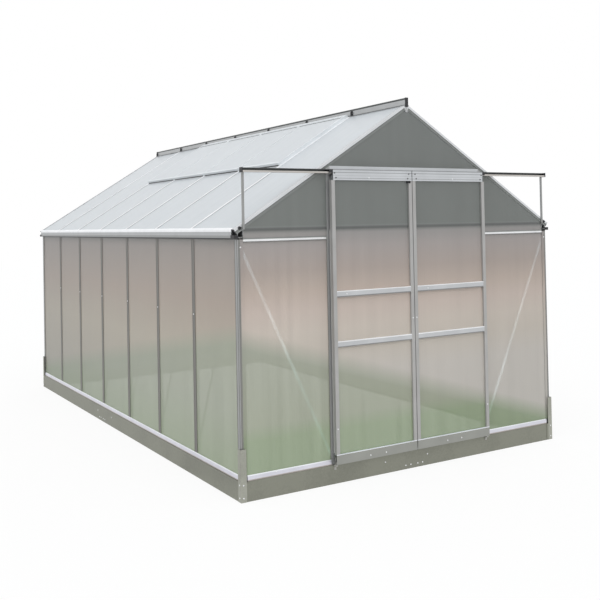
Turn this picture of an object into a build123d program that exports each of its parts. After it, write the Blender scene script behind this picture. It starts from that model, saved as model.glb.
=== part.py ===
"""Walk-in greenhouse: aluminium bars, twin-wall sheets, steel base and a pair of sliding doors.

Frame: X across the front, the door front faces -Y, Z up, ground at Z = 0.
Lengths are in millimetres.
"""
import math
import os

from build123d import *

os.makedirs("parts", exist_ok=True)

# House grid
bay = 610.0
side_bays = 7
front_bays = 4
corner_overlap = 43.0

# Heights above the ground
base_height = 115.0
sill_height = 33.0
eave_height = 1533.0
roof_rise = 775.0

# Glazing
sheet = 4.0
sheet_fit = 0.3
sheet_edge_gap = 0.5
slot_depth = 13.0
roof_overhang = 8.0

# Extruded bars
bar_wall = 1.8
bar_face = 28.0
bar_depth = 30.0
bar_leg = 14.0
bar_mouth = 6.0
web = 3.0
corner_core = 22.0
corner_fin = 14.0

# Steel base ring and the angles outside its corners
base_wall = 2.0
base_flange = 46.0
base_overhang = 9.0
angle_height = 300.0
angle_wall = 2.0
angle_setback = 1.0

# Sills, eaves and gutters
sill_lip = 4.0
beam_depth = 36.0
beam_skirt = 38.0
gutter_reach = 24.0
gutter_height = 30.0
gutter_lip_drop = 12.0
rail_height = 24.0
rail_drop = 15.0
rail_lip = 4.0
cap_thickness = 6.0
cap_rim = 2.0
cap_sleeve = 38.0

# Ridge
ridge_width = 18.0
ridge_upstand = 74.0
ridge_drop = 18.0
ridge_wing = 12.0
clip_width = 12.0
clip_depth = 10.0
clip_below_top = 8.0
clip_offset = 24.0
ridge_cap_height = 60.0

# Roof vents
vent_bays = 4
first_vent_bay = 1
vent_length = 670.0
vent_gap = 8.0
vent_depth = 22.0
vent_frame = 30.0
vent_ledge = 8.0
vent_rail = 26.0

# Braces
brace_width = 18.0
brace_thickness = 2.0
brace_head_drop = 45.0
brace_foot_rise = 20.0
side_braces = 4

# Doorway
door_post_centre = 618.0
header_height = 78.0
header_top_gap = 1.0
threshold_thickness = 3.0
threshold_lip = 15.0

# Sliding track
track_over_leaf = 14.0
track_height = 25.0
track_depth = 32.0
track_wall = 2.0
track_cell = 6.0
track_lip = 4.0
track_top_lip = 2.0
track_setback = 24.5
track_post_width = 14.0
track_post_depth = 8.0
track_post_inset = 5.0
track_post_foot = 20.0

# Door leaves
leaf_meeting_gap = 5.0
leaf_width = 617.5
leaf_bottom = 121.0
leaf_depth = 25.0
leaf_gap = 17.0
stile_width = 25.0
bottom_rail_height = 61.0
middle_rail_height = 37.0
middle_rail_places = (825.0, 1129.0)
top_rail_over_eaves = 308.0
top_rail_height = 28.0
cover_height = 65.0
cover_thickness = 2.5
cover_setback = 13.0
cover_groove = 0.8
cover_groove_height = 1.6
cover_groove_places = (11.0, 27.0, 33.0, 54.0)
leaf_sheet_place = 12.0

# Hangers and floor guides
wheel_radius = 7.5
wheel_width = 8.0
wheel_float = 0.3
wheel_inset = 80.0
axle_radius = 2.5
wheel_from_cover = 13.5
guide_width = 14.0
guide_tongue = 5.0
guide_clearance = 5.0
guide_groove_depth = 19.0
guide_arm = 8.0
guide_plate_height = 30.0
guide_plate = 4.0

# Derived sizes of the house
house_width = front_bays * bay + corner_overlap
house_length = side_bays * bay + corner_overlap
half_width = house_width / 2
leaf_face = leaf_gap + leaf_depth
back_reach = max(cap_thickness, base_overhang + angle_wall)
front_y = (leaf_face - back_reach) / 2 - house_length / 2
back_y = front_y + house_length
middle_y = (front_y + back_y) / 2
sill_top = base_height + sill_height
slot = sheet + 2 * sheet_fit
slot_in = bar_wall
slot_out = slot_in + slot
inner_face = slot_out + bar_wall
sheet_inset = slot_in + sheet_fit
top_rail_bottom = eave_height + top_rail_over_eaves
track_bottom = top_rail_bottom + top_rail_height + track_over_leaf
track_half_length = half_width - track_setback
corner_face = corner_core + corner_fin
beam_bottom = eave_height - beam_skirt
rail_bottom = beam_bottom - rail_drop
gutter_bottom = eave_height - gutter_height
gutter_lip_top = eave_height - gutter_lip_drop
base_reach = base_flange - base_overhang
post_edge = door_post_centre + bar_face / 2
side_grid = [front_y + corner_overlap / 2 + bay * number for number in range(side_bays + 1)]
front_grid = [-half_width + corner_overlap / 2 + bay * number for number in range(front_bays + 1)]
side_posts = side_grid[1:-1]
back_posts = front_grid[1:-1]

# Roof lines: the bars' underside meets the wall plane at the eaves and runs up to the middle
roof_angle = math.atan2(roof_rise, half_width)
slope = roof_rise / half_width
per_slope = 1 / math.cos(roof_angle)
apex_under = eave_height + roof_rise
ridge_bottom = apex_under - ridge_drop
ridge_top = apex_under + ridge_upstand
ridge_cap_bottom = ridge_top + cap_rim - ridge_cap_height
slope_length = half_width * per_slope + roof_overhang
rafter_fin = slot_depth
rafter_core = bar_depth - rafter_fin

# Planes: each wall plane looks along its wall, with its X axis pointing into the house
left_wall = Plane(origin=(-half_width, front_y, 0), x_dir=(1, 0, 0), z_dir=(0, -1, 0))
front_wall = Plane(origin=(-half_width, front_y, 0), x_dir=(0, 1, 0), z_dir=(1, 0, 0))
back_wall = Plane(origin=(-half_width, back_y, 0), x_dir=(0, -1, 0), z_dir=(-1, 0, 0))
front_face = Plane(origin=(0, front_y, 0), x_dir=(1, 0, 0), z_dir=(0, -1, 0))
across_middle = Plane(origin=(0, middle_y, 0), x_dir=(1, 0, 0), z_dir=(0, 1, 0))
slope_cut = Plane(
    origin=(0, 0, apex_under),
    x_dir=(0, -1, 0),
    z_dir=(-math.sin(roof_angle), 0, math.cos(roof_angle)),
)
down_slope = Plane(
    origin=(0, 0, apex_under),
    x_dir=(0, -1, 0),
    z_dir=(-math.cos(roof_angle), 0, -math.sin(roof_angle)),
)
ridge_side = Plane.YZ.offset(-ridge_width / 2)


def under_roof(x):
    """Height of the roof bars' underside at a distance x from the middle."""
    return apex_under - slope * abs(x)


def down_from_ridge(reach, lift):
    """Distance down the slope of a point at a reach from the middle and a lift off the underside."""
    return (reach - lift * math.sin(roof_angle)) * per_slope


def save(piece, name):
    """Name one finished sub-part and write it to its own file."""
    piece.label = name
    export_step(piece, f"parts/{name}.step")


def glazing_bar_section():
    """Bar section: its outer face lies on the X axis and looks to +Y."""
    leg_height = bar_depth - inner_face
    lip = (bar_leg - bar_mouth) / 2
    with Locations((0, -bar_wall / 2), (0, -(inner_face - bar_wall / 2))):
        Rectangle(bar_face, bar_wall)
    with Locations((0, -(slot_in + slot / 2))):
        Rectangle(web, slot)
    with Locations((0, -(inner_face + leg_height / 2))):
        Rectangle(bar_leg, leg_height)
        Rectangle(bar_leg - 2 * bar_wall, leg_height, mode=Mode.SUBTRACT)
    with Locations(
        (-(bar_mouth + lip) / 2, -(bar_depth - bar_wall / 2)),
        ((bar_mouth + lip) / 2, -(bar_depth - bar_wall / 2)),
    ):
        Rectangle(lip, bar_wall)


def corner_section(core, fin):
    """Corner section: hollow core with its outer corner at the origin and a pair of fins each way."""
    with Locations((core / 2, core / 2)):
        Rectangle(core, core)
        Rectangle(core - 2 * bar_wall, core - 2 * bar_wall, mode=Mode.SUBTRACT)
    for start in (0, slot_out):
        with Locations((core + fin / 2, start + bar_wall / 2)):
            Rectangle(fin, bar_wall)
        with Locations((start + bar_wall / 2, core + fin / 2)):
            Rectangle(bar_wall, fin)


def base_section():
    """Folded channel: its web stands outside the wall's Y axis and its flanges point to +X."""
    with Locations((base_flange / 2 - base_overhang, base_height / 2)):
        Rectangle(base_flange, base_height)
    with Locations(((base_flange + base_wall) / 2 - base_overhang, base_height / 2)):
        Rectangle(base_flange - base_wall, base_height - 2 * base_wall, mode=Mode.SUBTRACT)


def sill_section():
    """Sill on the base: sloped lip outside, slot for the sheets, shelf and leg inside."""
    shelf = sill_height - slot_depth
    Polygon(
        (-sill_lip, base_height),
        (-sill_lip, sill_top - sill_lip - bar_wall),
        (0, sill_top),
        (slot_in, sill_top),
        (slot_in, base_height + shelf),
        (slot_out, base_height + shelf),
        (slot_out, sill_top),
        (inner_face, sill_top),
        (inner_face, base_height + shelf),
        (bar_depth, base_height + shelf),
        (bar_depth, base_height),
        (bar_depth - bar_wall, base_height),
        (bar_depth - bar_wall, base_height + shelf - bar_wall),
        (0, base_height + shelf - bar_wall),
        (bar_wall - sill_lip, base_height + shelf - bar_wall - sill_lip),
        (bar_wall - sill_lip, base_height),
        align=None,
    )


def eave_rail_section():
    """Rail across a gable: slots up and down for the sheets, drip lip outside, leg inside."""
    middle = rail_bottom + rail_height / 2
    for start in (0, slot_out):
        with Locations((start + bar_wall / 2, middle)):
            Rectangle(bar_wall, rail_height)
    with Locations((slot_in + slot / 2, middle)):
        Rectangle(slot, web)
    with Locations(((inner_face + bar_depth) / 2, middle)):
        Rectangle(bar_depth - inner_face, web)
    Polygon(
        (0, rail_bottom),
        (-rail_lip, rail_bottom),
        (-rail_lip, rail_bottom + bar_wall),
        (0, rail_bottom + bar_wall + rail_lip),
        align=None,
    )


def beam_section():
    """Eaves beam with the gutter outside it and a slot for the wall sheets below."""
    slot_top = beam_bottom + slot_depth
    inner_top = eave_height + slope * beam_depth
    Polygon(
        (-gutter_reach, gutter_lip_top),
        (-gutter_reach, gutter_bottom),
        (0, gutter_bottom),
        (0, beam_bottom),
        (slot_in, beam_bottom),
        (slot_in, slot_top),
        (slot_out, slot_top),
        (slot_out, beam_bottom),
        (inner_face, beam_bottom),
        (inner_face, slot_top),
        (beam_depth, slot_top),
        (beam_depth, inner_top),
        (0, eave_height),
        (0, gutter_bottom + bar_wall),
        (bar_wall - gutter_reach, gutter_bottom + bar_wall),
        (bar_wall - gutter_reach, gutter_lip_top),
        align=None,
    )
    Polygon(
        (bar_wall, slot_top + bar_wall),
        (beam_depth - bar_wall, slot_top + bar_wall),
        (beam_depth - bar_wall, inner_top - (slope + per_slope) * bar_wall),
        (bar_wall, eave_height - (per_slope - slope) * bar_wall),
        align=None,
        mode=Mode.SUBTRACT,
    )


def leaf_bar_section(height, slots):
    """Door bar section: face on the X axis, bar above it in Y, with sheet slots at its chosen ends."""
    behind = leaf_sheet_place + slot
    with Locations((leaf_depth / 2, height / 2)):
        Rectangle(leaf_depth, height)
    with Locations((leaf_sheet_place / 2, height / 2)):
        Rectangle(leaf_sheet_place - 2 * bar_wall, height - 2 * bar_wall, mode=Mode.SUBTRACT)
    with Locations(((behind + leaf_depth) / 2, height / 2)):
        Rectangle(leaf_depth - behind - 2 * bar_wall, height - 2 * bar_wall, mode=Mode.SUBTRACT)
    for place in slots:
        middle = place + slot_depth / 2 if place == 0 else place - slot_depth / 2
        with Locations((leaf_sheet_place + slot / 2, middle)):
            Rectangle(slot, slot_depth, mode=Mode.SUBTRACT)


# Steel base: channels standing on edge, side lengths run through and the ends fit between them
with BuildPart() as base_left:
    with BuildSketch(left_wall.offset(base_overhang)):
        base_section()
    extrude(amount=-house_length - 2 * base_overhang)
save(base_left.part, "base_left")

with BuildPart() as base_right:
    mirror(base_left.part, about=Plane.YZ)
save(base_right.part, "base_right")

with BuildPart() as base_front:
    with BuildSketch(front_wall.offset(base_reach)):
        base_section()
    extrude(amount=house_width - 2 * base_reach)
save(base_front.part, "base_front")

with BuildPart() as base_back:
    mirror(base_front.part, about=across_middle)
save(base_back.part, "base_back")

# Angles wrap the corners from the ground up over the feet of the corner posts
angle_flange = corner_face - angle_setback
with BuildPart() as base_corner_angles:
    with BuildSketch():
        with Locations((-half_width - base_overhang, front_y - base_overhang)):
            with Locations(((angle_flange - angle_wall) / 2, -angle_wall / 2)):
                Rectangle(angle_flange + angle_wall, angle_wall)
            with Locations((-angle_wall / 2, angle_flange / 2)):
                Rectangle(angle_wall, angle_flange)
    extrude(amount=angle_height)
    mirror(about=Plane.YZ)
    mirror(about=across_middle)
save(base_corner_angles.part, "base_corner_angles")

# Corner posts stand on the base and rise to the eaves beams
with BuildPart() as corner_posts:
    with BuildSketch(Plane.XY.offset(base_height)):
        with Locations((-half_width, front_y)):
            corner_section(corner_core, corner_fin)
    extrude(amount=beam_bottom - base_height)
    mirror(about=Plane.YZ)
    mirror(about=across_middle)
save(corner_posts.part, "corner_posts")

# Sills between the corner posts, open at the doorway
with BuildPart() as wall_sills:
    with BuildSketch(left_wall.offset(-corner_face)):
        sill_section()
    extrude(amount=2 * corner_face - house_length)
    with BuildSketch(front_wall.offset(corner_face)):
        sill_section()
    extrude(amount=half_width - corner_face - post_edge)
    mirror(about=Plane.YZ)
    with BuildSketch(back_wall.offset(-corner_face)):
        sill_section()
    extrude(amount=2 * corner_face - house_width)
save(wall_sills.part, "wall_sills")

# Glazing bars of the side walls
with BuildPart() as left_wall_posts:
    with BuildSketch(Plane.XY.offset(sill_top)):
        with Locations(*[Location((-half_width, y, 0), (0, 0, 90)) for y in side_posts]):
            glazing_bar_section()
    extrude(amount=beam_bottom - sill_top)
save(left_wall_posts.part, "left_wall_posts")

with BuildPart() as right_wall_posts:
    mirror(left_wall_posts.part, about=Plane.YZ)
save(right_wall_posts.part, "right_wall_posts")

# Posts of the back wall rise through the gable to the rafters and the ridge
with BuildPart() as back_wall_posts:
    with BuildSketch(Plane.XY.offset(sill_top)):
        with Locations(*[(x, back_y) for x in back_posts if x < -bar_face]):
            glazing_bar_section()
    extrude(amount=apex_under - sill_top)
    split(bisect_by=slope_cut, keep=Keep.BOTTOM)
    mirror(about=Plane.YZ)
    with BuildSketch(Plane.XY.offset(sill_top)):
        with Locations(*[(x, back_y) for x in back_posts if abs(x) <= bar_face]):
            glazing_bar_section()
    extrude(amount=ridge_bottom - sill_top)
save(back_wall_posts.part, "back_wall_posts")

# Door posts stand on the base and reach the rafters
with BuildPart() as door_posts:
    with BuildSketch(Plane.XY.offset(base_height)):
        with Locations(Location((-door_post_centre, front_y, 0), (0, 0, 180))):
            glazing_bar_section()
    extrude(amount=apex_under - base_height)
    split(bisect_by=slope_cut, keep=Keep.BOTTOM)
    mirror(about=Plane.YZ)
save(door_posts.part, "door_posts")

# Eaves beams with their gutters
with BuildPart() as left_gutter:
    with BuildSketch(left_wall):
        beam_section()
    extrude(amount=-house_length)
save(left_gutter.part, "left_gutter")

with BuildPart() as right_gutter:
    mirror(left_gutter.part, about=Plane.YZ)
save(right_gutter.part, "right_gutter")

# Eave rails across both gables
with BuildPart() as front_eave_rails:
    with BuildSketch(front_wall.offset(corner_face)):
        eave_rail_section()
    extrude(amount=half_width - corner_face - post_edge)
    mirror(about=Plane.YZ)
save(front_eave_rails.part, "front_eave_rails")

rail_ends = [(-half_width + corner_face, back_posts[0] - bar_face / 2)]
rail_ends += [(a + bar_face / 2, b - bar_face / 2) for a, b in zip(back_posts, back_posts[1:])]
rail_ends += [(back_posts[-1] + bar_face / 2, half_width - corner_face)]
with BuildPart() as back_eave_rails:
    for start, end in rail_ends:
        with BuildSketch(back_wall.offset(-(start + half_width))):
            eave_rail_section()
        extrude(amount=start - end)
save(back_eave_rails.part, "back_eave_rails")

# Rafters of the gables and bars between them, cut plumb against the ridge
with BuildPart() as front_rafters:
    with BuildSketch(down_slope.offset(-bar_depth)):
        with Locations(Location((-front_y, bar_depth, 0), (0, 0, 180))):
            corner_section(rafter_core, rafter_fin)
    extrude(amount=slope_length + bar_depth)
    split(bisect_by=ridge_side, keep=Keep.BOTTOM)
    mirror(about=Plane.YZ)
save(front_rafters.part, "front_rafters")

with BuildPart() as back_rafters:
    mirror(front_rafters.part, about=across_middle)
save(back_rafters.part, "back_rafters")

with BuildPart() as left_roof_bars:
    with BuildSketch(down_slope.offset(-bar_depth)):
        with Locations(*[(-y, bar_depth) for y in side_posts]):
            glazing_bar_section()
    extrude(amount=slope_length + bar_depth)
    split(bisect_by=ridge_side, keep=Keep.BOTTOM)
save(left_roof_bars.part, "left_roof_bars")

with BuildPart() as right_roof_bars:
    mirror(left_roof_bars.part, about=Plane.YZ)
save(right_roof_bars.part, "right_roof_bars")

# Ridge: hollow upstand between the bars with a wing over the sheets on each side
half_ridge = ridge_width / 2
wing_reach = half_ridge + ridge_wing
top_line = apex_under + bar_depth * per_slope
wing_lift = bar_wall * per_slope
with BuildPart() as ridge:
    with BuildSketch(front_face):
        with Locations((0, (ridge_bottom + ridge_top) / 2)):
            Rectangle(ridge_width, ridge_top - ridge_bottom)
        with BuildLine():
            Polyline(
                (-half_ridge, top_line - slope * half_ridge),
                (-wing_reach, top_line - slope * wing_reach),
                (-wing_reach, top_line - slope * wing_reach + wing_lift),
                (-half_ridge, top_line - slope * half_ridge + wing_lift),
                close=True,
            )
        make_face()
        mirror(about=Plane.YZ)
        with Locations((0, (ridge_bottom + ridge_top) / 2)):
            Rectangle(
                ridge_width - 2 * bar_wall,
                ridge_top - ridge_bottom - 2 * bar_wall,
                mode=Mode.SUBTRACT,
            )
    extrude(amount=-house_length)
    with BuildSketch(front_face):
        with Locations((0, (ridge_bottom + ridge_cap_bottom) / 2)):
            Rectangle(ridge_width, ridge_cap_bottom - ridge_bottom)
    extrude(amount=-bar_wall)
    mirror(about=across_middle)
save(ridge.part, "ridge")

# Black caps close the ridge ends and clip each bar at the ridge
clip_places = [*[y - clip_offset for y in side_posts], back_y - clip_width]
clip_bottom = top_line - slope * (half_ridge + clip_depth) + wing_lift
with BuildPart() as ridge_caps:
    with BuildSketch(front_face):
        with Locations((0, ridge_cap_bottom + ridge_cap_height / 2)):
            Rectangle(ridge_width + 2 * cap_rim, ridge_cap_height)
    extrude(amount=cap_thickness)
    mirror(about=across_middle)
    with BuildSketch(*[Plane.XZ.offset(-y - clip_width / 2) for y in clip_places]):
        with BuildLine():
            Polyline(
                (-half_ridge, clip_bottom + slope * clip_depth),
                (-half_ridge - clip_depth, clip_bottom),
                (-half_ridge - clip_depth, ridge_top - clip_below_top - clip_depth),
                (-half_ridge, ridge_top - clip_below_top),
                close=True,
            )
        make_face()
    extrude(amount=clip_width)
    mirror(about=Plane.YZ)
save(ridge_caps.part, "ridge_caps")

# Wall sheets stand in the bars' slots, from the sills' slots up to the eaves
sheet_foot = base_height + sill_height - slot_depth + sheet_edge_gap
beam_sheet_top = beam_bottom + slot_depth - sheet_edge_gap
rail_middle = rail_bottom + rail_height / 2
rail_sheet_top = rail_middle - web / 2 - sheet_edge_gap
gable_foot = rail_middle + web / 2 + sheet_edge_gap
web_edge = web / 2 + sheet_edge_gap
core_edge = corner_core + sheet_edge_gap
side_edges = [front_y + core_edge, *side_posts, back_y - core_edge]
back_edges = [-half_width + core_edge, *back_posts, half_width - core_edge]


def spans(edges):
    """Ends of the sheets between posts: full gap at each post, none at the outer ends."""
    last = len(edges) - 2
    return [
        (a + (web_edge if number > 0 else 0), b - (web_edge if number < last else 0))
        for number, (a, b) in enumerate(zip(edges, edges[1:]))
    ]


with BuildPart() as left_wall_sheets:
    with BuildSketch(Plane.YZ.offset(-half_width + sheet_inset)):
        for start, end in spans(side_edges):
            with Locations(((start + end) / 2, (sheet_foot + beam_sheet_top) / 2)):
                Rectangle(end - start, beam_sheet_top - sheet_foot)
    extrude(amount=sheet)
save(left_wall_sheets.part, "left_wall_sheets")

with BuildPart() as right_wall_sheets:
    mirror(left_wall_sheets.part, about=Plane.YZ)
save(right_wall_sheets.part, "right_wall_sheets")

with BuildPart() as back_wall_sheets:
    with BuildSketch(front_face.offset(sheet_inset - house_length)):
        for start, end in spans(back_edges):
            with Locations(((start + end) / 2, (sheet_foot + rail_sheet_top) / 2)):
                Rectangle(end - start, rail_sheet_top - sheet_foot)
    extrude(amount=sheet)
save(back_wall_sheets.part, "back_wall_sheets")

front_sheet_end = door_post_centre + web_edge
with BuildPart() as front_side_sheets:
    with BuildSketch(front_face.offset(-sheet_inset)):
        for side in (-1, 1):
            with Locations((
                side * (half_width - core_edge + front_sheet_end) / 2,
                (sheet_foot + rail_sheet_top) / 2,
            )):
                Rectangle(half_width - core_edge - front_sheet_end, rail_sheet_top - sheet_foot)
    extrude(amount=-sheet)
save(front_side_sheets.part, "front_side_sheets")

# Gable sheets reach up into the rafters' slots
gable_lift = (rafter_fin - sheet_edge_gap) * per_slope
gable_end = half_width - beam_depth - sheet_edge_gap
gable_top = ridge_bottom - sheet_edge_gap
gable_top_reach = (apex_under + gable_lift - gable_top) / slope
header_top = under_roof(door_post_centre - bar_face / 2) - header_top_gap
header_sheet_foot = header_top - slot_depth + sheet_edge_gap
top_sheet_end = door_post_centre - bar_face / 2 - sheet_edge_gap


def gable_outline(inner, outer, foot):
    """Outline of one gable sheet between two distances from the middle."""
    Polygon(
        (-outer, foot),
        (-inner, foot),
        (-inner, under_roof(inner) + gable_lift),
        (-outer, under_roof(outer) + gable_lift),
        align=None,
    )


with BuildPart() as front_gable_sheets:
    with BuildSketch(front_face.offset(-sheet_inset)):
        gable_outline(front_sheet_end, gable_end, gable_foot)
        Polygon(
            (0, header_sheet_foot),
            (0, gable_top),
            (-gable_top_reach, gable_top),
            (-top_sheet_end, under_roof(top_sheet_end) + gable_lift),
            (-top_sheet_end, header_sheet_foot),
            align=None,
        )
        mirror(about=Plane.YZ)
    extrude(amount=-sheet)
save(front_gable_sheets.part, "front_gable_sheets")

left_back_posts = [x for x in back_posts if x < -bar_face]
centre_post_edge = web_edge if len(left_back_posts) * 2 < len(back_posts) else 0
with BuildPart() as back_gable_sheets:
    with BuildSketch(front_face.offset(sheet_inset - house_length)):
        edges = [-gable_end, *left_back_posts, -centre_post_edge]
        for number, (start, end) in enumerate(zip(edges, edges[1:])):
            outer = -start - (web_edge if number > 0 else 0)
            inner = -end + (web_edge if number < len(edges) - 2 else 0)
            if inner > gable_top_reach:
                gable_outline(inner, outer, gable_foot)
            else:
                Polygon(
                    (-outer, gable_foot),
                    (-inner, gable_foot),
                    (-inner, gable_top),
                    (-gable_top_reach, gable_top),
                    (-outer, under_roof(outer) + gable_lift),
                    align=None,
                )
        mirror(about=Plane.YZ)
    extrude(amount=sheet)
save(back_gable_sheets.part, "back_gable_sheets")

# Roof sheets slide in under the bars' caps; four bays stop short at the vents
roof_sheet_top = bar_depth - slot_in - sheet_fit
roof_edges = [front_y + rafter_core + sheet_edge_gap, *side_posts, back_y - rafter_core - sheet_edge_gap]
roof_sheet_start = down_from_ridge(half_ridge + sheet_edge_gap, roof_sheet_top - sheet)
roof_sheet_end = slope_length - sheet_edge_gap
vent_start = down_from_ridge(wing_reach + sheet_edge_gap, bar_depth)
vent_end = vent_start + vent_length
vent_rail_middle = vent_end + vent_rail / 2 - vent_ledge
vent_sheet_start = vent_rail_middle + web / 2 + sheet_edge_gap
vent_numbers = range(first_vent_bay, first_vent_bay + vent_bays)
vent_centres = [(side_grid[number] + side_grid[number + 1]) / 2 for number in vent_numbers]

with BuildPart() as left_roof_sheets:
    with BuildSketch(slope_cut.offset(roof_sheet_top)):
        for number, (start, end) in enumerate(spans(roof_edges)):
            top = vent_sheet_start if number in vent_numbers else roof_sheet_start
            with Locations((-(start + end) / 2, -(top + roof_sheet_end) / 2)):
                Rectangle(end - start, roof_sheet_end - top)
    extrude(amount=-sheet)
save(left_roof_sheets.part, "left_roof_sheets")

with BuildPart() as right_roof_sheets:
    mirror(left_roof_sheets.part, about=Plane.YZ)
save(right_roof_sheets.part, "right_roof_sheets")

# Vents hang at the ridge and shut on a cross rail between the bars
with BuildPart() as vent_rails:
    for number in vent_numbers:
        start = side_grid[number] + bar_face / 2
        with BuildSketch(Plane(
            origin=(0, start, apex_under),
            x_dir=(-math.cos(roof_angle), 0, -math.sin(roof_angle)),
            z_dir=(0, 1, 0),
        )):
            with Locations((vent_rail_middle, bar_depth - bar_wall / 2)):
                Rectangle(vent_rail, bar_wall)
            with Locations((vent_rail_middle, bar_depth - inner_face + bar_wall / 2)):
                Rectangle(vent_rail, bar_wall)
            with Locations((vent_rail_middle, bar_depth - slot_in - slot / 2)):
                Rectangle(web, slot)
        extrude(amount=bay - bar_face)
    mirror(about=Plane.YZ)
save(vent_rails.part, "vent_rails")

vent_middle = (vent_start + vent_end) / 2
vent_places = [(-y, -vent_middle) for y in vent_centres]
vent_width = bay - vent_gap
rebate = sheet + sheet_fit
with BuildPart() as roof_vent_frames:
    with BuildSketch(slope_cut.offset(bar_depth)):
        with Locations(*vent_places):
            Rectangle(vent_width, vent_length)
            Rectangle(vent_width - 2 * vent_frame, vent_length - 2 * vent_frame, mode=Mode.SUBTRACT)
    extrude(amount=vent_depth)
    with BuildSketch(slope_cut.offset(bar_depth + vent_depth - rebate)):
        with Locations(*vent_places):
            Rectangle(
                vent_width - 2 * (vent_frame - vent_ledge),
                vent_length - 2 * (vent_frame - vent_ledge),
            )
    extrude(amount=rebate, mode=Mode.SUBTRACT)
    mirror(about=Plane.YZ)
save(roof_vent_frames.part, "roof_vent_frames")

with BuildPart() as roof_vent_sheets:
    with BuildSketch(slope_cut.offset(bar_depth + vent_depth - rebate)):
        with Locations(*vent_places):
            Rectangle(
                vent_width - 2 * (vent_frame - vent_ledge + sheet_edge_gap),
                vent_length - 2 * (vent_frame - vent_ledge + sheet_edge_gap),
            )
    extrude(amount=sheet)
    mirror(about=Plane.YZ)
save(roof_vent_sheets.part, "roof_vent_sheets")

# Flat braces lie on the bars' inner flanges
brace_head = beam_bottom - brace_head_drop
brace_foot = sill_top + brace_foot_rise
leg_edge = bar_leg / 2 + sheet_edge_gap


def brace_outline(head, foot):
    """Outline of one brace, with plumb ends, from its head down to its foot."""
    run = foot - head
    half = brace_width / 2 * math.hypot(run, brace_head - brace_foot) / abs(run)
    Polygon(
        (head, brace_head + half),
        (head, brace_head - half),
        (foot, brace_foot - half),
        (foot, brace_foot + half),
        align=None,
    )


brace_heads = [front_y + core_edge, *[y + leg_edge for y in side_posts[: side_braces - 1]]]
brace_feet = [y - leg_edge for y in side_posts[:side_braces]]
with BuildPart() as wall_braces:
    with BuildSketch(Plane.YZ.offset(-half_width + inner_face)):
        for head, foot in zip(brace_heads, brace_feet):
            brace_outline(head, foot)
    extrude(amount=brace_thickness)
    with BuildSketch(front_face.offset(-inner_face)):
        brace_outline(core_edge - half_width, -door_post_centre - leg_edge)
    extrude(amount=-brace_thickness)
    with BuildSketch(front_face.offset(inner_face - house_length)):
        brace_outline(core_edge - half_width, back_posts[0] - leg_edge)
    extrude(amount=brace_thickness)
    mirror(about=Plane.YZ)
save(wall_braces.part, "wall_braces")

# Header closes the doorway between the door posts and holds the gable sheet
door_way = door_post_centre - bar_face / 2
header_bottom = header_top - header_height
header_middle = (header_top + header_bottom) / 2
front_cell_top = header_top - slot_depth - bar_wall
front_cell_bottom = header_bottom + bar_wall
with BuildPart() as door_header:
    with BuildSketch(front_wall.offset(half_width - door_way)):
        with Locations((bar_depth / 2, header_middle)):
            Rectangle(bar_depth, header_height)
        with Locations((slot_in + slot / 2, header_top - slot_depth / 2)):
            Rectangle(slot, slot_depth, mode=Mode.SUBTRACT)
        with Locations((slot_in + slot / 2, (front_cell_top + front_cell_bottom) / 2)):
            Rectangle(slot, front_cell_top - front_cell_bottom, mode=Mode.SUBTRACT)
        with Locations(((inner_face + bar_depth - bar_wall) / 2, header_middle)):
            Rectangle(
                bar_depth - inner_face - bar_wall,
                header_height - 2 * bar_wall,
                mode=Mode.SUBTRACT,
            )
    extrude(amount=2 * door_way)
save(door_header.part, "door_header")

with BuildPart() as door_threshold:
    with BuildSketch(front_wall.offset(half_width - door_way)):
        with Locations((base_flange / 2 - base_overhang, base_height + threshold_thickness / 2)):
            Rectangle(base_flange, threshold_thickness)
        with Locations((base_reach - bar_wall / 2, base_height + threshold_lip / 2)):
            Rectangle(bar_wall, threshold_lip)
    extrude(amount=2 * door_way)
save(door_threshold.part, "door_threshold")

# Track: closed cell below, wheel channel with its mouth to the front above
track_top = track_bottom + track_height
ledge = track_bottom + track_cell
channel_top = track_top - track_wall
mouth_top = channel_top - track_top_lip
with BuildPart() as door_track:
    with BuildSketch(front_wall.offset(half_width - track_half_length)):
        with Locations((-track_depth / 2, track_bottom + track_height / 2)):
            Rectangle(track_depth, track_height)
        with Locations((-track_depth / 2, track_bottom + track_cell / 2)):
            Rectangle(track_depth - 2 * track_wall, track_cell - 2 * track_wall, mode=Mode.SUBTRACT)
        with Locations((-track_depth / 2, (ledge + channel_top) / 2)):
            Rectangle(track_depth - 2 * track_wall, channel_top - ledge, mode=Mode.SUBTRACT)
        with Locations((track_wall / 2 - track_depth, (ledge + track_lip + mouth_top) / 2)):
            Rectangle(track_wall, mouth_top - ledge - track_lip, mode=Mode.SUBTRACT)
    extrude(amount=2 * track_half_length)
save(door_track.part, "door_track")

track_post_outer = track_half_length - track_post_inset
with BuildPart() as track_posts:
    with BuildSketch(Plane.XY.offset(eave_height + track_post_foot)):
        with Locations((track_post_width / 2 - track_post_outer, front_y - track_post_depth / 2)):
            Rectangle(track_post_width, track_post_depth)
            Rectangle(
                track_post_width - 2 * bar_wall,
                track_post_depth - 2 * bar_wall,
                mode=Mode.SUBTRACT,
            )
    extrude(amount=track_bottom - eave_height - track_post_foot)
    mirror(about=Plane.YZ)
save(track_posts.part, "track_posts")

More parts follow.
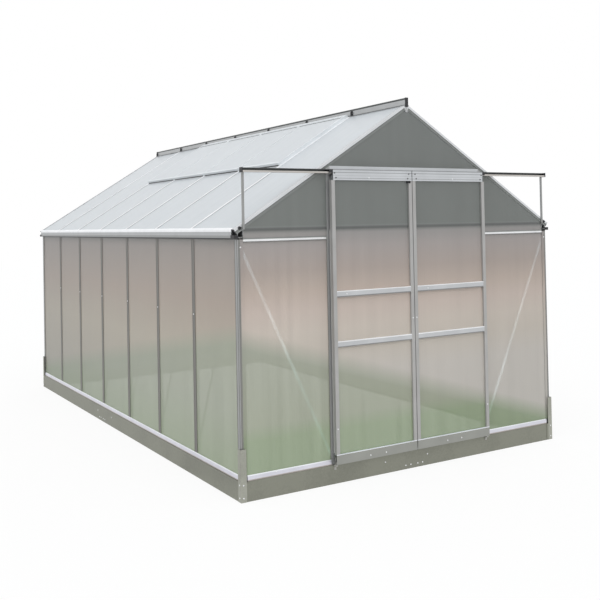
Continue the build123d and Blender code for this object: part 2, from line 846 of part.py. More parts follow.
# Black caps close the ends of the gutters, with a sleeve outside, and plugs close the track
gutter_cap_width = gutter_reach + cap_rim
gutter_cap_height = gutter_height - gutter_lip_drop + cap_rim
with BuildPart() as end_caps:
    with BuildSketch(front_face):
        with Locations((-half_width - gutter_cap_width / 2, gutter_lip_top - gutter_cap_height / 2)):
            Rectangle(gutter_cap_width, gutter_cap_height)
    extrude(amount=cap_thickness)
    with BuildSketch(front_face):
        with Locations((-half_width - gutter_cap_width / 2, gutter_lip_top - gutter_cap_height / 2)):
            Rectangle(gutter_cap_width, gutter_cap_height)
        with Locations((-half_width - gutter_reach / 2, (gutter_lip_top + gutter_bottom) / 2)):
            Rectangle(gutter_reach, gutter_lip_top - gutter_bottom, mode=Mode.SUBTRACT)
    extrude(amount=-cap_sleeve)
    mirror(about=across_middle)
    with BuildSketch(front_wall.offset(half_width - track_half_length)):
        with Locations((-(track_depth + cap_rim) / 2, (track_bottom + track_top) / 2)):
            Rectangle(track_depth + cap_rim, track_height + 2 * cap_rim)
    extrude(amount=-cap_thickness)
    mirror(about=Plane.YZ)
save(end_caps.part, "end_caps")

# Door leaves: the left one is built shut and the right one mirrors it
leaf_inner = -leaf_meeting_gap / 2
leaf_outer = leaf_inner - leaf_width
leaf_front = front_y - leaf_face
stile_foot = leaf_bottom + bottom_rail_height
guide_middle = leaf_sheet_place + slot / 2
guide_groove = guide_tongue + 2 * guide_clearance


def leaf_plane(x, z):
    """Plane across the leaf's rails: X axis into the house, Y axis up."""
    return Plane(origin=(x, leaf_front, z), x_dir=(0, 1, 0), z_dir=(1, 0, 0))


def stile_plane(x):
    """Plane across a stile at its top: X axis into the house, Y axis to the right."""
    return Plane(origin=(x, leaf_front, top_rail_bottom), x_dir=(0, 1, 0), z_dir=(0, 0, -1))


with BuildPart() as left_door_stiles:
    with BuildSketch(stile_plane(leaf_outer)):
        leaf_bar_section(stile_width, (stile_width,))
    extrude(amount=top_rail_bottom - stile_foot)
    with BuildSketch(stile_plane(leaf_inner - stile_width)):
        leaf_bar_section(stile_width, (0,))
    extrude(amount=top_rail_bottom - stile_foot)
save(left_door_stiles.part, "left_door_stiles")

with BuildPart() as left_door_rails:
    with BuildSketch(leaf_plane(leaf_outer, leaf_bottom)):
        leaf_bar_section(bottom_rail_height, (bottom_rail_height,))
        with Locations((guide_middle, guide_groove_depth / 2)):
            Rectangle(guide_groove, guide_groove_depth, mode=Mode.SUBTRACT)
    extrude(amount=leaf_width)
    for place in middle_rail_places:
        with BuildSketch(leaf_plane(leaf_outer + stile_width, place)):
            leaf_bar_section(middle_rail_height, (0, middle_rail_height))
        extrude(amount=leaf_width - 2 * stile_width)
save(left_door_rails.part, "left_door_rails")

with BuildPart() as left_door_top_rail:
    with BuildSketch(leaf_plane(leaf_outer + cover_setback, top_rail_bottom)):
        leaf_bar_section(top_rail_height, (0,))
        with Locations((cover_thickness / 2, cover_height / 2)):
            Rectangle(cover_thickness, cover_height)
        with Locations(*[(cover_groove / 2, place) for place in cover_groove_places]):
            Rectangle(cover_groove, cover_groove_height, mode=Mode.SUBTRACT)
    extrude(amount=leaf_width - cover_setback)
save(left_door_top_rail.part, "left_door_top_rail")

pane_sides = stile_width - slot_depth + sheet_edge_gap
pane_width = leaf_width - 2 * pane_sides
pane_feet = [leaf_bottom + bottom_rail_height, *[place + middle_rail_height for place in middle_rail_places]]
pane_heads = [*middle_rail_places, top_rail_bottom]
pane_bite = slot_depth - sheet_edge_gap
with BuildPart() as left_door_sheets:
    with BuildSketch(front_face.offset(leaf_face - leaf_sheet_place - sheet_fit)):
        for foot, head in zip(pane_feet, pane_heads):
            with Locations(((leaf_outer + leaf_inner) / 2, (foot + head) / 2)):
                Rectangle(pane_width, head - foot + 2 * pane_bite)
    extrude(amount=-sheet)
save(left_door_sheets.part, "left_door_sheets")

wheel_height = ledge + wheel_float + wheel_radius
wheel_places = [leaf_outer + wheel_inset, leaf_inner - wheel_inset]
cover_back = front_face.offset(leaf_face - cover_thickness)
with BuildPart() as left_door_rollers:
    with BuildSketch(cover_back):
        with Locations(*[(x, wheel_height) for x in wheel_places]):
            Circle(axle_radius)
    extrude(amount=-wheel_from_cover - wheel_width)
    with BuildSketch(cover_back.offset(-wheel_from_cover)):
        with Locations(*[(x, wheel_height) for x in wheel_places]):
            Circle(wheel_radius)
    extrude(amount=-wheel_width)
save(left_door_rollers.part, "left_door_rollers")

for name, piece in (
    ("right_door_stiles", left_door_stiles),
    ("right_door_rails", left_door_rails),
    ("right_door_top_rail", left_door_top_rail),
    ("right_door_sheets", left_door_sheets),
    ("right_door_rollers", left_door_rollers),
):
    with BuildPart() as right_piece:
        mirror(piece.part, about=Plane.YZ)
    save(right_piece.part, name)

# Guides on the base run in the grooves under the leaves
tongue_back = guide_middle - leaf_face + guide_tongue / 2
tongue_front = tongue_back - guide_tongue
plate_face = -base_overhang - guide_plate
arm_top = leaf_bottom - guide_clearance
tongue_top = leaf_bottom + guide_groove_depth - guide_clearance
with BuildPart() as door_guides:
    with BuildSketch(front_wall.offset(half_width + leaf_outer + sheet_edge_gap)):
        Polygon(
            (-base_overhang, arm_top - guide_plate_height),
            (-base_overhang, arm_top),
            (tongue_back, arm_top),
            (tongue_back, tongue_top),
            (tongue_front, tongue_top),
            (tongue_front, arm_top - guide_arm),
            (plate_face, arm_top - guide_arm),
            (plate_face, arm_top - guide_plate_height),
            align=None,
        )
    extrude(amount=guide_width)
    mirror(about=Plane.YZ)
save(door_guides.part, "door_guides")
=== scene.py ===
"""Looks of a walk-in greenhouse with twin-wall sheets, aluminium bars and a sliding door pair.

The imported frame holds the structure. This script gives every node its finish, adds the fittings
that are too small for the frame, and sets up a plain studio with the camera at the photograph's
viewing angle. Lengths are in metres, X runs across the front, Y to the back and Z up.
"""

import logging
import math
from dataclasses import dataclass
from enum import Enum
from typing import Any, Sequence

import bpy
import numpy as np
from mathutils import Matrix, Vector

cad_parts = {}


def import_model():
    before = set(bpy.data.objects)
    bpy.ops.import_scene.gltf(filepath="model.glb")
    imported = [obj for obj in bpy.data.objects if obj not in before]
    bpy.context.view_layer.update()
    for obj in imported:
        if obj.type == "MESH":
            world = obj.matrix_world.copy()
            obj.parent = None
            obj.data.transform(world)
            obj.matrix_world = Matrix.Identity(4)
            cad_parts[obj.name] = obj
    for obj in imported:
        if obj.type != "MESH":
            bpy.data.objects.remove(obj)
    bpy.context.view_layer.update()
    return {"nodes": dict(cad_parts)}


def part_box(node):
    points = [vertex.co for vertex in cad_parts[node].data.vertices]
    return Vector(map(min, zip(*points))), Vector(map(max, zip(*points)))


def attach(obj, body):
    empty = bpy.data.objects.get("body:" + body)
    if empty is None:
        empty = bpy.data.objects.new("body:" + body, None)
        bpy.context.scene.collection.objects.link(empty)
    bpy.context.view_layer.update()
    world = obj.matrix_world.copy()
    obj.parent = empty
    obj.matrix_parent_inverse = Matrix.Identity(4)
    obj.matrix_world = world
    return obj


LOG = logging.getLogger("greenhouse")
MM = 0.001
GRAIN_DEPTH = 0.1 * MM
NOISE_LOW, NOISE_HIGH = 0.3, 0.7
Colour = tuple[float, float, float, float]
Bands = tuple[tuple[float, str], ...]
Span = tuple[float, float]
Spot = tuple[float, float, float]
Tree = bpy.types.NodeTree
Socket = bpy.types.NodeSocket


class Across(Enum):
    """The axis across a sheet's flutes."""

    X = "X"
    Y = "Y"


class Body(Enum):
    """The bodies that pieces ride on."""

    HOUSE = "house"
    LEFT_DOOR = "left_door"
    RIGHT_DOOR = "right_door"


class Slot(Enum):
    """The record's material slots, one named for each kind of added piece."""

    MILL = "mill_aluminium"
    ZINC = "galvanised_steel"
    BLACK = "black_plastic"
    SHEET = "twin_wall_sheet"


def linear(code: str) -> Colour:
    """Turn an sRGB hex colour to the linear values that shaders take.

    Each channel c becomes c / 12.92 up to 0.04045 and ((c + 0.055) / 1.055) ** 2.4 above it.

    Args:
        code: the colour as "#RRGGBB".

    Returns:
        Red, green, blue and a full alpha.
    """
    srgb = np.array([int(code[start:start + 2], 16) for start in (1, 3, 5)]) / 255
    value = np.where(srgb <= 0.04045, srgb / 12.92, ((srgb + 0.055) / 1.055) ** 2.4)
    return (*value.tolist(), 1.0)


def add(
    tree: Tree, kind: str, inputs: dict[str | int, Any] | None = None, **settings: Any
) -> bpy.types.Node:
    """Add one shader node to a tree, with its settings, constants and links.

    Args:
        tree: the tree that gets the node.
        kind: Blender's name for the node, without the ShaderNode that it starts with.
        inputs: for each input, a constant or the output socket that feeds it.
        **settings: the node's own properties.

    Returns:
        The new node.
    """
    node = tree.nodes.new(f"ShaderNode{kind}")
    for name, value in settings.items():
        setattr(node, name, value)
    for name, value in (inputs or {}).items():
        if isinstance(value, Socket):
            tree.links.new(value, node.inputs[name])
        else:
            node.inputs[name].default_value = value
    return node


def by_height(tree: Tree, height: Socket, bands: Bands, blend: str = "LINEAR") -> Socket:
    """Colour a surface by its height above the floor.

    Args:
        tree: the tree that gets the nodes.
        height: the socket with the height in metres.
        bands: height and sRGB colour of each stop, in order.
        blend: the colour ramp's interpolation between stops.

    Returns:
        The colour output.
    """
    low, high = bands[0][0], bands[-1][0]
    share = add(tree, "MapRange", {"Value": height, "From Min": low, "From Max": high})
    node = add(tree, "ValToRGB", {"Fac": share.outputs[0]})
    node.color_ramp.interpolation = blend
    points = node.color_ramp.elements
    while len(points) < len(bands):
        points.new(0.5)
    for point, (z, code) in zip(points, bands):
        point.position = (z - low) / (high - low)
        point.color = linear(code)
    return node.outputs["Color"]


def shades(tree: Tree, colour: str | Socket, value: Socket, span: Span) -> Socket:
    """Vary a colour's brightness with a noise value.

    The colour is multiplied by a factor that runs over the span as the value runs over the middle
    of a noise's range.

    Args:
        tree: the tree that gets the nodes.
        colour: the mean colour, as a hex code or a socket.
        value: the noise's output.
        span: the factors at the dark end and at the light one.

    Returns:
        The varied colour.
    """
    ends = {"From Min": NOISE_LOW, "From Max": NOISE_HIGH, "To Min": span[0], "To Max": span[1]}
    factor = add(tree, "MapRange", {"Value": value, **ends})
    mean = linear(colour)[:3] if isinstance(colour, str) else colour
    return add(tree, "VectorMath", {0: mean, "Scale": factor.outputs[0]}, operation="SCALE").outputs[0]


@dataclass(frozen=True)
class Finish:
    """What all finishes share: a name for the real material, and a material made from its nodes."""

    name: str

    def surface(self, tree: Tree) -> Socket:
        """Build the nodes and return the shader socket."""
        raise NotImplementedError

    def material(self) -> bpy.types.Material:
        """Return this finish as a material, made once.

        Returns:
            The material with this finish's name.
        """
        known = bpy.data.materials.get(self.name)
        if known:
            return known
        made = bpy.data.materials.new(self.name)
        made.use_nodes = True
        made.node_tree.nodes.clear()
        add(made.node_tree, "OutputMaterial", {"Surface": self.surface(made.node_tree)})
        return made


@dataclass(frozen=True)
class TwinWall(Finish):
    """Extruded twin-wall polycarbonate: see-through skins with ribs between them.

    The ribs give fine lines along the sheet, and the skins' uneven thickness gives broader
    streaks. The real ribs are 6 mm apart, too fine for the picture, so they are drawn every 16 mm.
    The sheet's colour by height is painted light and shade of what lies behind it: green ground
    light below a foot edge and painted shade above the eaves. That edge leans, because what gives
    this colour lies behind the sheet. A painted shade also darkens the sheet along the wall.
    """

    across: Across
    # painted light and shade seen through the sheet by height; the second set lies below the foot edge
    light_through_bands: Bands
    foot_light_bands: Bands
    cover: float
    foot_edge: float = 0.56
    edge_blur: float = 0.06
    lean: float = 0.0
    # painted shade: how much the sheet darkens per metre along the wall
    painted_shade_slope: float = 0.0
    painted_shade_start: float = -0.9
    rib_pitch: float = 16 * MM
    rib_contrast: float = 0.10
    rib_depth: float = 0.4 * MM
    rib_bump: float = 0.15
    streak: float = 45 * MM
    streak_stretch: Spot = (3.0, 3.0, 0.8)
    streak_contrast: float = 0.06
    cover_spread: float = 0.03
    roughness: float = 0.28
    ior: float = 1.58

    def paint_light_through(self, tree: Tree, across: Socket, height: Socket) -> Socket:
        """Paint the light and shade seen through the sheet by height, and a painted shade along the wall.

        The foot's share grows from 0 to 1 as height + lean * across falls through the edge's blur,
        and the mix is multiplied by 1 - fade * (across - painted_shade_start).

        Args:
            tree: the tree that gets the nodes.
            across: the place across the ribs.
            height: the height above the floor.

        Returns:
            The painted light and shade.
        """
        leaning = add(tree, "Math", {0: across, 1: self.lean, 2: height}, operation="MULTIPLY_ADD")
        blur = {"From Min": self.foot_edge + self.edge_blur, "From Max": self.foot_edge - self.edge_blur}
        below = add(tree, "MapRange", {"Value": leaning.outputs[0], **blur})
        upper, foot = by_height(tree, height, self.light_through_bands), by_height(tree, height, self.foot_light_bands)
        mixed = add(tree, "Mix", {0: below.outputs[0], 6: upper, 7: foot}, data_type="RGBA")
        line = {0: across, 1: -self.painted_shade_slope, 2: 1 + self.painted_shade_slope * self.painted_shade_start}
        factor = add(tree, "Math", line, operation="MULTIPLY_ADD")
        scaled = {0: mixed.outputs[2], "Scale": factor.outputs[0]}
        return add(tree, "VectorMath", scaled, operation="SCALE").outputs[0]

    def surface(self, tree: Tree) -> Socket:
        """Build the nodes of ribs, streaks, tint and see-through skins.

        Args:
            tree: the tree that gets the nodes.

        Returns:
            The shader socket.
        """
        place = add(tree, "TexCoord").outputs["Object"]
        parts = add(tree, "SeparateXYZ", {"Vector": place})
        across = parts.outputs[self.across.value]
        turn = add(tree, "Math", {0: across, 1: 2 * math.pi / self.rib_pitch}, operation="MULTIPLY")
        rib = add(tree, "Math", {0: turn.outputs[0]}, operation="SINE").outputs[0]
        stretch = list(self.streak_stretch)
        stretch["XYZ".index(self.across.value)] = 1 / self.streak
        slow = add(tree, "Mapping", {"Vector": place, "Scale": stretch})
        streaks = add(tree, "TexNoise", {"Vector": slow.outputs[0], "Scale": 1.0, "Detail": 3.0})
        both = {0: rib, 1: self.rib_contrast / 2, 2: streaks.outputs["Fac"]}
        shade = add(tree, "Math", both, operation="MULTIPLY_ADD").outputs[0]
        ends = {
            "From Min": NOISE_LOW, "From Max": NOISE_HIGH,
            "To Min": self.cover + self.cover_spread, "To Max": self.cover - self.cover_spread,
        }
        cover = add(tree, "MapRange", {"Value": shade, **ends})
        bump = add(tree, "Bump", {"Height": rib, "Strength": self.rib_bump, "Distance": self.rib_depth})
        contrast = (1 - self.streak_contrast, 1 + self.streak_contrast)
        colour = shades(tree, self.paint_light_through(tree, across, parts.outputs["Z"]), shade, contrast)
        return add(tree, "BsdfPrincipled", {
            "Base Color": colour, "Alpha": cover.outputs[0], "Roughness": self.roughness,
            "IOR": self.ior, "Normal": bump.outputs[0],
        }).outputs[0]


@dataclass(frozen=True)
class Extrusion(Finish):
    """Mill-finish aluminium: a soft grey metal, cloudy over a hand's width and finely grained.

    Bands paint light and shade on a section by height: painted highlights on its lips and painted shade in
    its hollows.
    """

    colour: str
    roughness: float = 0.42
    metallic: float = 0.85
    # painted light and shade by height: height and colour of each stop
    bands: Bands = ()
    grain: float = 1.5 * MM
    grain_bump: float = 0.10
    cloud: float = 140 * MM
    cloud_shades: Span = (0.93, 1.05)
    cloud_roughness: Span = (-0.06, 0.08)

    def surface(self, tree: Tree) -> Socket:
        """Build the nodes of clouds and grain.

        Args:
            tree: the tree that gets the nodes.

        Returns:
            The shader socket.
        """
        place = add(tree, "TexCoord").outputs["Object"]
        cloud, grain = (
            add(tree, "TexNoise", {"Vector": place, "Scale": 1 / size, "Detail": detail}).outputs["Fac"]
            for size, detail in ((self.cloud, 4.0), (self.grain, 2.0))
        )
        mean: str | Socket = self.colour
        if self.bands:
            parts = add(tree, "SeparateXYZ", {"Vector": place})
            mean = by_height(tree, parts.outputs["Z"], self.bands, "CONSTANT")
        smooth, dull = (self.roughness + change for change in self.cloud_roughness)
        rough = add(tree, "MapRange", {"Value": cloud, "To Min": smooth, "To Max": dull})
        bump = add(tree, "Bump", {"Height": grain, "Strength": self.grain_bump, "Distance": GRAIN_DEPTH})
        return add(tree, "BsdfPrincipled", {
            "Base Color": shades(tree, mean, cloud, self.cloud_shades), "Metallic": self.metallic,
            "Roughness": rough.outputs[0], "Normal": bump.outputs[0],
        }).outputs[0]


@dataclass(frozen=True)
class BraceStrip(Finish):
    """Flat aluminium strips behind the sheets: bright in the front, in shade along the other walls.

    The sheets of the front throw daylight back onto the strip that touches them, and a weak glow
    stands for it.
    """

    lit: str
    shaded: str
    front_wall: float = -2.10
    glow: float = 1.5
    grain: float = 2 * MM
    grain_shades: Span = (0.94, 1.04)
    metallic: float = 0.2
    roughness: float = 0.45

    def surface(self, tree: Tree) -> Socket:
        """Build the nodes of grain, and of the glow in the front.

        Args:
            tree: the tree that gets the nodes.

        Returns:
            The shader socket.
        """
        place = add(tree, "TexCoord").outputs["Object"]
        parts = add(tree, "SeparateXYZ", {"Vector": place})
        ahead = {0: parts.outputs["Y"], 1: self.front_wall}
        front = add(tree, "Math", ahead, operation="LESS_THAN").outputs[0]
        tones = {0: front, 6: linear(self.shaded), 7: linear(self.lit)}
        mean = add(tree, "Mix", tones, data_type="RGBA").outputs[2]
        grain = add(tree, "TexNoise", {"Vector": place, "Scale": 1 / self.grain, "Detail": 2.0})
        glow = add(tree, "Math", {0: front, 1: self.glow}, operation="MULTIPLY")
        return add(tree, "BsdfPrincipled", {
            "Base Color": shades(tree, mean, grain.outputs["Fac"], self.grain_shades),
            "Metallic": self.metallic, "Roughness": self.roughness,
            "Emission Color": linear(self.lit), "Emission Strength": glow.outputs[0],
        }).outputs[0]


@dataclass(frozen=True)
class Galvanised(Finish):
    """Hot-dip galvanised sheet steel: dull grey zinc with crystals and faint stains."""

    colour: str
    metallic: float = 0.8
    roughness: Span = (0.38, 0.55)
    spangle: float = 9 * MM
    spangle_share: float = 0.22
    spangle_bump: float = 0.06
    stain: float = 250 * MM
    stain_shades: Span = (0.82, 1.04)

    def surface(self, tree: Tree) -> Socket:
        """Build the nodes of crystals and stains.

        Args:
            tree: the tree that gets the nodes.

        Returns:
            The shader socket.
        """
        place = add(tree, "TexCoord").outputs["Object"]
        crystal = add(tree, "TexVoronoi", {"Vector": place, "Scale": 1 / self.spangle}).outputs
        noise = add(tree, "TexNoise", {"Vector": place, "Scale": 1 / self.stain, "Detail": 5.0})
        stain = noise.outputs["Fac"]
        both = {0: crystal["Color"], 1: self.spangle_share, 2: stain}
        blend = add(tree, "Math", both, operation="MULTIPLY_ADD").outputs[0]
        smooth, dull = self.roughness
        rough = add(tree, "MapRange", {"Value": stain, "To Min": smooth, "To Max": dull})
        relief = {"Height": crystal["Distance"], "Strength": self.spangle_bump, "Distance": GRAIN_DEPTH}
        return add(tree, "BsdfPrincipled", {
            "Base Color": shades(tree, self.colour, blend, self.stain_shades), "Metallic": self.metallic,
            "Roughness": rough.outputs[0], "Normal": add(tree, "Bump", relief).outputs[0],
        }).outputs[0]


@dataclass(frozen=True)
class Moulded(Finish):
    """Moulded plastic or rubber: a matt skin with a fine grain."""

    colour: str
    roughness: float = 0.5
    grain: float = 1.2 * MM
    grain_bump: float = 0.2
    grain_shades: Span = (0.9, 1.25)

    def surface(self, tree: Tree) -> Socket:
        """Build the nodes of the grain.

        Args:
            tree: the tree that gets the nodes.

        Returns:
            The shader socket.
        """
        place = add(tree, "TexCoord").outputs["Object"]
        noise = add(tree, "TexNoise", {"Vector": place, "Scale": 1 / self.grain, "Detail": 2.0})
        grain = noise.outputs["Fac"]
        bump = add(tree, "Bump", {"Height": grain, "Strength": self.grain_bump, "Distance": GRAIN_DEPTH})
        return add(tree, "BsdfPrincipled", {
            "Base Color": shades(tree, self.colour, grain, self.grain_shades),
            "Roughness": self.roughness, "Normal": bump.outputs[0],
        }).outputs[0]


# Colours by height are painted light and shade of what lies behind the sheets: green ground light at the
# foot, painted shade above the eaves, and the sky's light on the roof.
FRONT_LIGHT_THROUGH: Bands = (
    (0.12, "#D3CFC7"), (0.65, "#D6D0C8"), (0.82, "#D6CDC1"), (0.94, "#DACFC3"), (1.06, "#D8C9BE"),
    (1.18, "#CCBCB0"), (1.30, "#BBAEA5"), (1.44, "#B3ABA7"), (1.525, "#A4A19E"), (1.537, "#8E8E8B"),
    (1.545, "#666866"), (1.555, "#6C6E6C"), (1.562, "#8A8D8B"), (1.57, "#7F837F"), (2.32, "#7C807D"),
)
FRONT_GROUND_LIGHT: Bands = ((0.12, "#9BAB8A"), (0.33, "#9DAC8C"), (0.42, "#ABB09B"), (0.95, "#B4B7A8"))
SIDE_LIGHT_THROUGH: Bands = (
    (0.30, "#B5B0A2"), (0.80, "#C0B7A6"), (1.12, "#B5A699"), (1.44, "#A29A94"), (1.50, "#8E8C88"),
)
SIDE_GROUND_LIGHT: Bands = ((0.12, "#9AA888"), (0.50, "#A6AC98"), (0.95, "#AAAE9B"))
ROOF_SKY_LIGHT: Bands = ((1.40, "#DEE4E7"), (2.40, "#E4E9EC"))
# Bands by height paint light and shade on the bars: painted highlights on lips and edges, and painted shade
# in grooves, under lips and on undersides.
EAVE_RAIL_BANDS: Bands = ((1.47, "#7C7E7C"), (1.4835, "#E9EAEB"), (1.4955, "#8C8E8C"), (1.51, "#8C8E8C"))
DOOR_RAIL_BANDS: Bands = (
    (0.10, "#9B9C97"), (0.174, "#EDF0F6"), (0.19, "#8F9090"), (0.829, "#C3C5C7"), (0.855, "#F2F3F4"),
    (0.90, "#8F9090"), (1.133, "#C3C5C7"), (1.159, "#F2F3F4"), (1.20, "#F2F3F4"),
)
GUTTER_BANDS: Bands = ((1.45, "#585A5A"), (1.5055, "#9EA0A0"), (1.5195, "#C9CBCB"), (1.60, "#C9CBCB"))
TRACK_BANDS: Bands = ((1.87, "#C4C0BB"), (1.8935, "#5E6060"), (1.91, "#5E6060"))
RIDGE_BANDS: Bands = ((2.28, "#B4B6B7"), (2.370, "#565959"), (2.39, "#565959"))
COVER_BANDS: Bands = (
    (1.83, "#C9CCCF"), (1.8515, "#9C9EA1"), (1.8545, "#C9CCCF"), (1.8675, "#B4B6B9"), (1.8695, "#C9CCCF"),
    (1.8860, "#8F9194"), (1.8895, "#C9CCCF"), (1.9020, "#A0A2A5"), (1.91, "#A0A2A5"),
)
SILL_BANDS: Bands = ((0.10, "#B9B2AE"), (0.122, "#D9D9E2"), (0.1435, "#EEF1F4"), (0.16, "#EEF1F4"))
DRIP_BANDS: Bands = ((1.50, "#B4B6B7"), (1.541, "#FBFCFD"), (1.58, "#FBFCFD"))

# End walls' sheets: milky with fine upright ribs, warm at eye height, with painted green ground light at
# the foot, painted shade above the eaves, and a painted shade that darkens the wall towards the right.
FRONT_SHEET = TwinWall(
    "Twin_wall_polycarbonate_front", Across.X, FRONT_LIGHT_THROUGH, FRONT_GROUND_LIGHT, 0.76, lean=0.30, painted_shade_slope=0.045,
)
# Side walls' sheets: the same milky skin with deeper painted light and shade of what lies behind, and a
# painted shade dimming them from bay to bay towards the back.
SIDE_SHEET = TwinWall(
    "Twin_wall_polycarbonate_side", Across.Y, SIDE_LIGHT_THROUGH, SIDE_GROUND_LIGHT, 0.76, lean=0.17, foot_edge=0.60,
    painted_shade_slope=0.075,
)
# The roof's sheets take the sky: cool, nearly white and almost without lines.
ROOF_SHEET = TwinWall(
    "Twin_wall_polycarbonate_roof", Across.Y, ROOF_SKY_LIGHT, ROOF_SKY_LIGHT, 0.80, rib_contrast=0.03,
    streak_contrast=0.03,
)
# Untreated bars of the walls: the darkest grey lines between the pale sheets, darkened as painted shade,
# since the walls stand in shade.
WALL_BAR = Extrusion("Mill_aluminium_wall_bars", "#7E7C78")
# Corner bars: a mid grey with a soft metal sheen.
CORNER_BAR = Extrusion("Mill_aluminium_corner_bars", "#A6A7A7", metallic=0.7)
# Door posts: paler as painted light, since they face the open, with little mirror in them.
DOOR_POST_BAR = Extrusion("Mill_aluminium_door_posts", "#B0B1B1", metallic=0.5)
# Eaves rails: a painted highlight on the rolled lip between two flats in painted shade.
EAVE_RAIL_BAR = Extrusion("Mill_aluminium_eave_rails", "#8C8E8C", bands=EAVE_RAIL_BANDS)
# Stiles of the leaves: a warm matt grey.
DOOR_BAR = Extrusion("Mill_aluminium_door_bars", "#AFAEAC", metallic=0.35)
# Rails of the leaves: painted highlights on the upper edges, painted shadow along the lower edges of the
# middle rails, and duller flats.
DOOR_RAIL_BAR = Extrusion("Mill_aluminium_door_rails", "#C3C5C7", bands=DOOR_RAIL_BANDS)
# Header and threshold: smoother and brighter than the bars, with a wider sheen.
HEADER_BAR = Extrusion("Mill_aluminium_header", "#C6C9CC", roughness=0.38)
# Covers over the track: bright steps with painted shade in the grooves between them.
COVER_BAR = Extrusion("Mill_aluminium_door_covers", "#C9CCCF", roughness=0.38, bands=COVER_BANDS)
# Ridge: pale flanks under a dark top edge.
RIDGE_BAR = Extrusion("Mill_aluminium_ridge", "#B4B6B7", roughness=0.38, bands=RIDGE_BANDS)
# Roof bars: nearly white lines, a painted reflection of the sky.
ROOF_BAR = Extrusion("Mill_aluminium_roof_bars", "#FBFCFD", roughness=0.45, metallic=0.1)
# Vent frames: a shade below the roof bars, so that they only just show.
VENT_BAR = Extrusion("Mill_aluminium_vent_frames", "#E3E7E9", roughness=0.5, metallic=0.2)
# Cross rails of the vents: one more shade down, a thin grey line across the slope.
VENT_RAIL_BAR = Extrusion("Mill_aluminium_vent_rails", "#D2D5D7", roughness=0.5, metallic=0.3)
# Drip edges: a white roll in painted highlight over a foot in painted shade, the brightest line of the eaves.
DRIP_BAR = Extrusion("Mill_aluminium_drip_edges", "#FBFCFD", metallic=0.1, bands=DRIP_BANDS)
# Rafters: bright, with some mirror, so that the slope's edge stands out from the gable.
RAFTER_BAR = Extrusion("Mill_aluminium_rafters", "#D6D8DA", metallic=0.7)
# Gutters: painted shade on the underside below a mid grey flank, with painted light on the lip above.
GUTTER_BAR = Extrusion("Mill_aluminium_gutters", "#9C9E9E", bands=GUTTER_BANDS)
# Sills: the smoothest bars, with a painted highlight on the upper edge that draws the wall's foot.
SILL_BAR = Extrusion("Mill_aluminium_sills", "#D6D6DC", roughness=0.34, bands=SILL_BANDS)
# Braces: painted light and a glow make thin pale lines through the front sheets, and painted shade makes
# faint dark ones through the others.
BRACE_BAR = BraceStrip("Mill_aluminium_braces", "#CFE4EC", "#34332F")
# Track: a pale underside and face, with painted shade over the channel's mouth and top edge.
TRACK_BAR = Extrusion("Mill_aluminium_track", "#8E8E8C", bands=TRACK_BANDS)
# End posts of the track: plain mid grey bars.
POST_BAR = Extrusion("Mill_aluminium_track_posts", "#9A9B9A")
# Folded steel of the base: dull and slightly green, with faint crystals and stains.
BASE_STEEL = Galvanised("Galvanised_sheet_steel", "#8A8B80")
# Corner angles: newer zinc, a tone paler than the base.
ANGLE_STEEL = Galvanised("Galvanised_steel_angles", "#A5A69C")
# Moulded caps and plugs: small black points at the ends of bars.
BLACK_CAP = Moulded("Moulded_polypropylene_black", "#232326")
# Rollers and guides: an off-white, slightly waxy plastic.
NYLON = Moulded("Moulded_nylon_grey", "#A9A8A2", roughness=0.4)
# Brush: a soft pale strip with a coarse, dull grain of hairs.
PILE = Moulded("Pile_brush_grey", "#B5B5B2", roughness=0.8, grain=2.5 * MM)
# Zinc screws: small bright glints.
ZINC_SCREW = Extrusion("Zinc_plated_screws", "#E4E5E6", roughness=0.3, metallic=0.9)
# Screws of the track covers: in shade, so they show as dark dots.
DARK_SCREW = Extrusion("Stainless_screws_in_shade", "#6A6B6C", roughness=0.35, metallic=0.9)
# Seals of rafters, ridge and vents: thin dark matt rubber lines, which also stand as painted shadow lines
# under the ridge wings, along the vent edges and beside the rafters.
RUBBER_AND_SHADOW_LINES = Moulded("EPDM_rubber_seal_and_shadow_lines", "#4A4C4C", roughness=0.6)
# Gaskets of the roof bars: pale, so that each bar seems to have a soft edge.
ROOF_RUBBER = Moulded("EPDM_rubber_gasket_pale", "#D5D6D4", roughness=0.6)
# Gable seals: in the gable's painted shade grey, which makes the rafters look narrower.
GABLE_RUBBER = Moulded("EPDM_rubber_gable_seal", "#7B7E7B", roughness=0.6)
# Gaskets of the walls: in the bars' painted shade tone, which gives each bar its full dark width.
WALL_RUBBER = Moulded("EPDM_rubber_gasket_grey", "#7D7C78", roughness=0.6)

